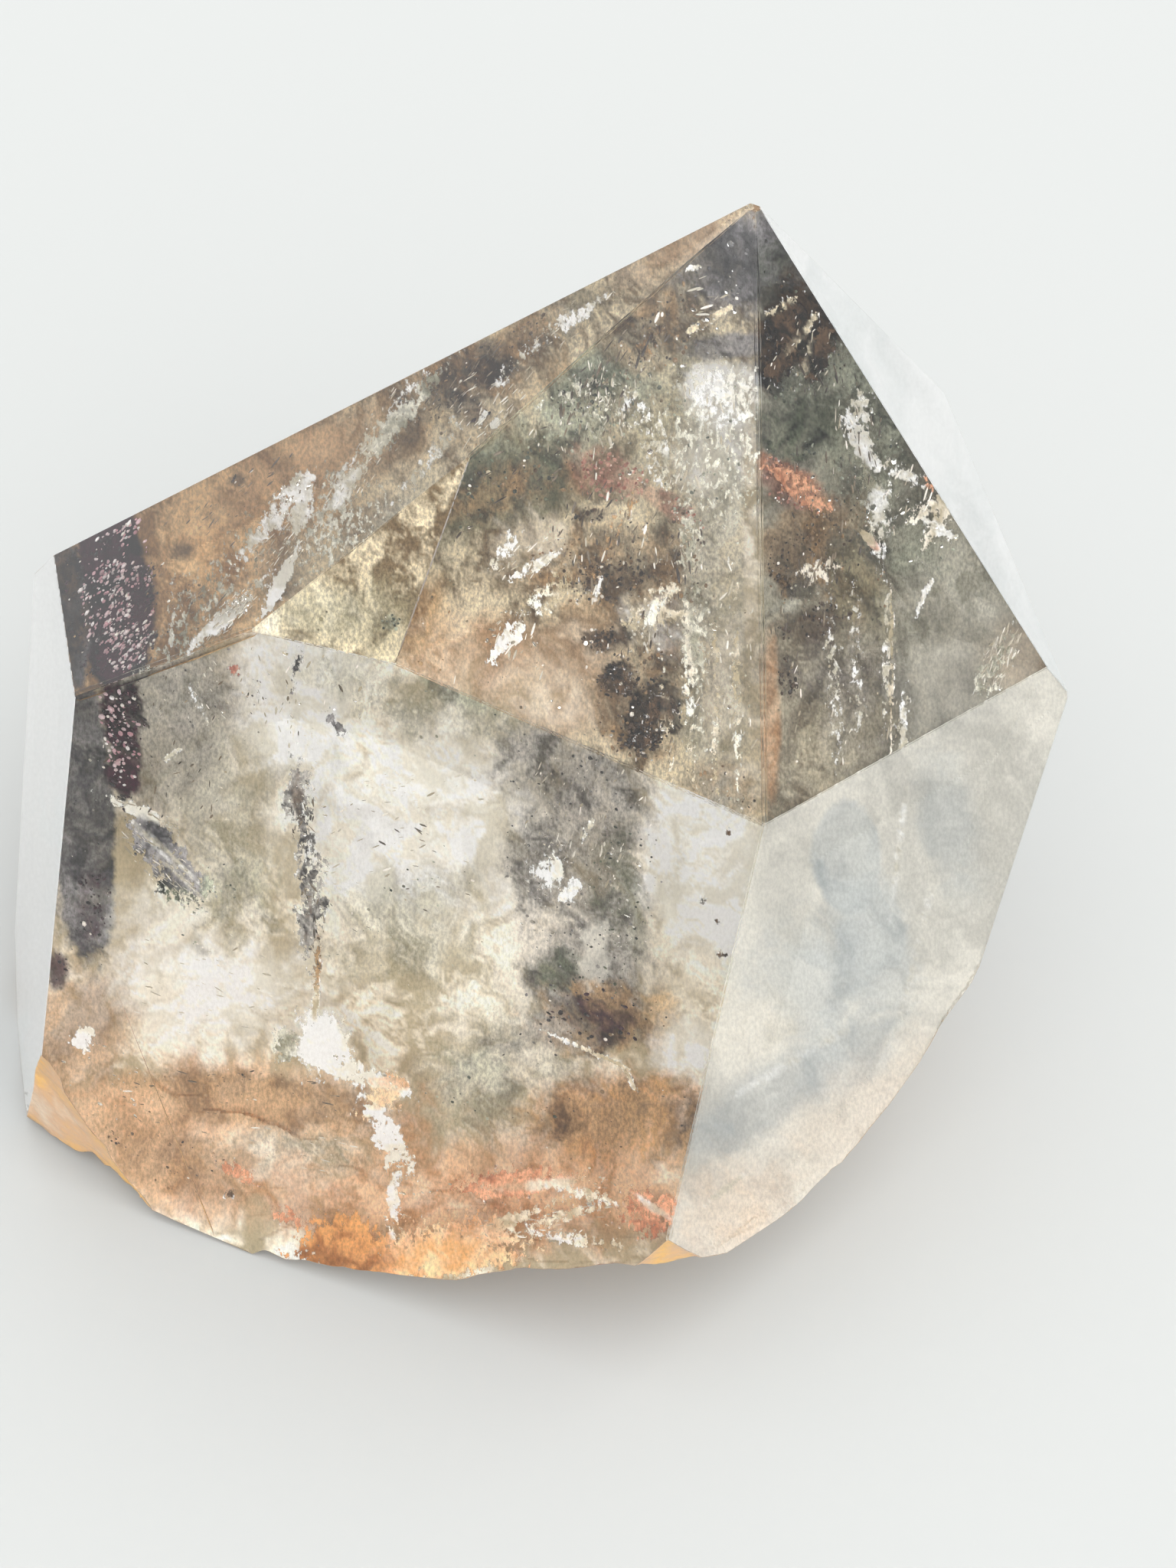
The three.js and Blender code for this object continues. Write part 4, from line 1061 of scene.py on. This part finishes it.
def mineral_grains_and_painted_glints():
    """Grains of chlorite, iron oxides and quartz: each of one tone, a few of them near-white as painted glints,
    with a faint gloss on its facets.
    """
    material, tree = new_material("mineral_grains_and_painted_glints")
    tint = add_node(tree, "ShaderNodeAttribute", attribute_name="tint").outputs["Color"]
    place = add_node(tree, "ShaderNodeTexCoord").outputs["Object"]
    dust = add_node(tree, "ShaderNodeTexNoise", {"Vector": place, "Scale": 1 / (0.1 * MM), "Detail": 2.0})
    value = add_node(tree, "ShaderNodeMapRange", {"Value": dust.outputs["Fac"], "To Min": 0.7, "To Max": 1.3})
    colour = add_node(tree, "ShaderNodeVectorMath", {0: tint, 1: value.outputs["Result"]}, operation="MULTIPLY")
    shader = add_node(
        tree, "ShaderNodeBsdfPrincipled", {"Base Color": colour.outputs["Vector"], "Roughness": 0.35}
    )
    add_node(tree, "ShaderNodeOutputMaterial", {"Surface": shader.outputs["BSDF"]})
    return material


def open_crack():
    """A thin film of air in quartz: it mirrors light whole, so it flashes white where it faces the light."""
    material, tree = new_material("open_crack")
    place = add_node(tree, "ShaderNodeTexCoord").outputs["Object"]
    wave = add_node(tree, "ShaderNodeTexNoise", {"Vector": place, "Scale": 1 / (0.15 * MM), "Detail": 2.0})
    bump = add_node(tree, "ShaderNodeBump", {"Height": wave.outputs["Fac"], "Strength": 0.3, "Distance": 0.02 * MM})
    shader = add_node(
        tree, "ShaderNodeBsdfPrincipled",
        {"Base Color": linear_colour("#fdfcfa"), "Metallic": 1.0, "Roughness": 0.15,
         "Normal": bump.outputs["Normal"]},
    )
    add_node(tree, "ShaderNodeOutputMaterial", {"Surface": shader.outputs["BSDF"]})
    return material


class LODOLITE_OT_grains(bpy.types.Operator):
    """Scatters the loose grains of minerals in front of the films"""

    bl_idname = "lodolite.grains"
    bl_label = "Grains of minerals"

    def execute(self, context):
        settings = context.scene.lodolite_garden
        faces = polished_faces()
        pieces = {}
        for number, film in enumerate(FILMS.values()):
            for order, patch in enumerate(film.patches, start=1):
                if patch.grains:
                    seed = settings.seed + FILM_SEEDS * number + PATCH_SEEDS * order
                    lot = scatter_grains(faces[film.face], film, patch, settings, seed)
                    pieces.setdefault(patch.mineral.piece, []).append(lot)
        tree, solid, crack = grain_nodes(), mineral_grains_and_painted_glints(), open_crack()
        for name, lots in pieces.items():
            material = crack if name == GLINTS else solid
            mount_piece(grown_grains(name, tree, material, *(np.concatenate(parts) for parts in zip(*lots))))
        return {"FINISHED"}


class StageSettings(bpy.types.PropertyGroup):
    """What can be set of the floor and the light"""

    floor_size: length("Floor size", "Side of the pale floor", 6.0)
    daylight: FloatProperty(name="Daylight", description="Strength of the even light all round", default=1.15)
    high_light: FloatProperty(name="High light", description="What is added from high overhead", default=3.75)
    window_light: FloatProperty(name="Window light", description="What is added low in front", default=3.9)


def pale_floor(settings):
    """Matt white card."""
    material, tree = new_material("matt_white_card")
    shader = add_node(
        tree, "ShaderNodeBsdfPrincipled",
        {"Base Color": linear_colour("#9c9d9c"), "Roughness": 1.0, "Specular IOR Level": 0.0},
    )
    add_node(tree, "ShaderNodeOutputMaterial", {"Surface": shader.outputs["BSDF"]})
    half = settings.floor_size / 2
    mesh = bpy.data.meshes.new("floor")
    mesh.from_pydata([(-half, -half, 0), (half, -half, 0), (half, half, 0), (-half, half, 0)], [], [(0, 1, 2, 3)])
    mesh.materials.append(material)
    return add_object("floor", mesh)


LIGHT_FROM = Vector((0.25, -0.25, 0.94)).normalized()
WINDOW_FROM = Vector((0.05, -1.0, 0.0)).normalized()
STRAIGHT_DOWN = (0, 0, -1)
NEAREST_SEEN = 5 * MM


def soft_daylight(settings):
    """Even daylight, brighter in a broad lobe high overhead and in a low wide window in front."""
    world = bpy.data.worlds.new("daylight")
    world.use_nodes = True
    tree = world.node_tree
    tree.nodes.clear()
    way = add_node(tree, "ShaderNodeTexCoord").outputs["Generated"]

    def glow(towards, strength, begin, end):
        """Light that grows as the way turns towards a side, between two cosines."""
        facing = add_node(tree, "ShaderNodeVectorMath", {0: way, 1: towards}, operation="DOT_PRODUCT")
        return add_node(
            tree, "ShaderNodeMapRange",
            {"Value": facing.outputs["Value"], "From Min": begin, "From Max": end, "To Max": strength},
            interpolation_type="SMOOTHSTEP",
        ).outputs["Result"]

    high = glow(LIGHT_FROM, settings.high_light, begin=0.5, end=1.0)
    wide = glow(WINDOW_FROM, settings.window_light, begin=0.35, end=0.8)
    low = glow(STRAIGHT_DOWN, 1.0, begin=-0.45, end=-0.15)
    window = add_node(tree, "ShaderNodeMath", {0: wide, 1: low, 2: high}, operation="MULTIPLY_ADD").outputs["Value"]
    strength = add_node(tree, "ShaderNodeMath", {0: window, 1: settings.daylight}, operation="ADD")
    sky = add_node(
        tree, "ShaderNodeBackground", {"Color": linear_colour("#fafbfb"), "Strength": strength.outputs["Value"]}
    )
    add_node(tree, "ShaderNodeOutputWorld", {"Surface": sky.outputs["Background"]})
    world.cycles.sampling_method = "NONE"
    bpy.context.scene.world = world


def main_camera():
    camera = bpy.data.cameras.new("main_camera")
    camera.lens = LENS
    camera.sensor_width = SENSOR
    camera.clip_start = NEAREST_SEEN
    item = add_object("main_camera", camera)
    item.location = CAMERA_PLACE
    item.rotation_euler = (CAMERA_TILT, 0, 0)
    bpy.context.scene.camera = item


class LODOLITE_OT_stage(bpy.types.Operator):
    """Sets a pale floor, soft daylight and the main camera around the crystal"""

    bl_idname = "lodolite.stage"
    bl_label = "Stage"

    def execute(self, context):
        settings = context.scene.lodolite_stage
        pale_floor(settings)
        soft_daylight(settings)
        main_camera()
        context.scene.view_settings.view_transform = "Standard"
        context.scene.cycles.max_bounces = 12
        context.scene.cycles.diffuse_bounces = 4
        context.scene.cycles.transparent_max_bounces = 8
        return {"FINISHED"}


class LODOLITE_PT_panel(bpy.types.Panel):
    bl_idname = "LODOLITE_PT_panel"
    bl_label = "Lodolite quartz point"
    bl_space_type = "VIEW_3D"
    bl_region_type = "UI"
    bl_category = "Lodolite"

    def draw(self, context):
        for operator in OPERATORS:
            self.layout.operator(operator.bl_idname)
        for group in SETTINGS:
            settings = getattr(context.scene, group)
            for name in settings.__annotations__:
                self.layout.prop(settings, name)


OPERATORS = (LODOLITE_OT_crystal, LODOLITE_OT_films, LODOLITE_OT_grains, LODOLITE_OT_stage)
SETTINGS = {
    "lodolite_crystal": CrystalSettings,
    "lodolite_garden": GardenSettings,
    "lodolite_stage": StageSettings,
}
CLASSES = (*SETTINGS.values(), *OPERATORS, LODOLITE_PT_panel)


def register():
    for item in CLASSES:
        bpy.utils.register_class(item)
    for name, group in SETTINGS.items():
        setattr(bpy.types.Scene, name, PointerProperty(type=group))


def unregister():
    for name in SETTINGS:
        delattr(bpy.types.Scene, name)
    for item in reversed(CLASSES):
        bpy.utils.unregister_class(item)


def main():
    register()
    bpy.ops.lodolite.crystal()
    bpy.ops.lodolite.films()
    bpy.ops.lodolite.grains()
    bpy.ops.lodolite.stage()


if __name__ == "__main__":
    main()
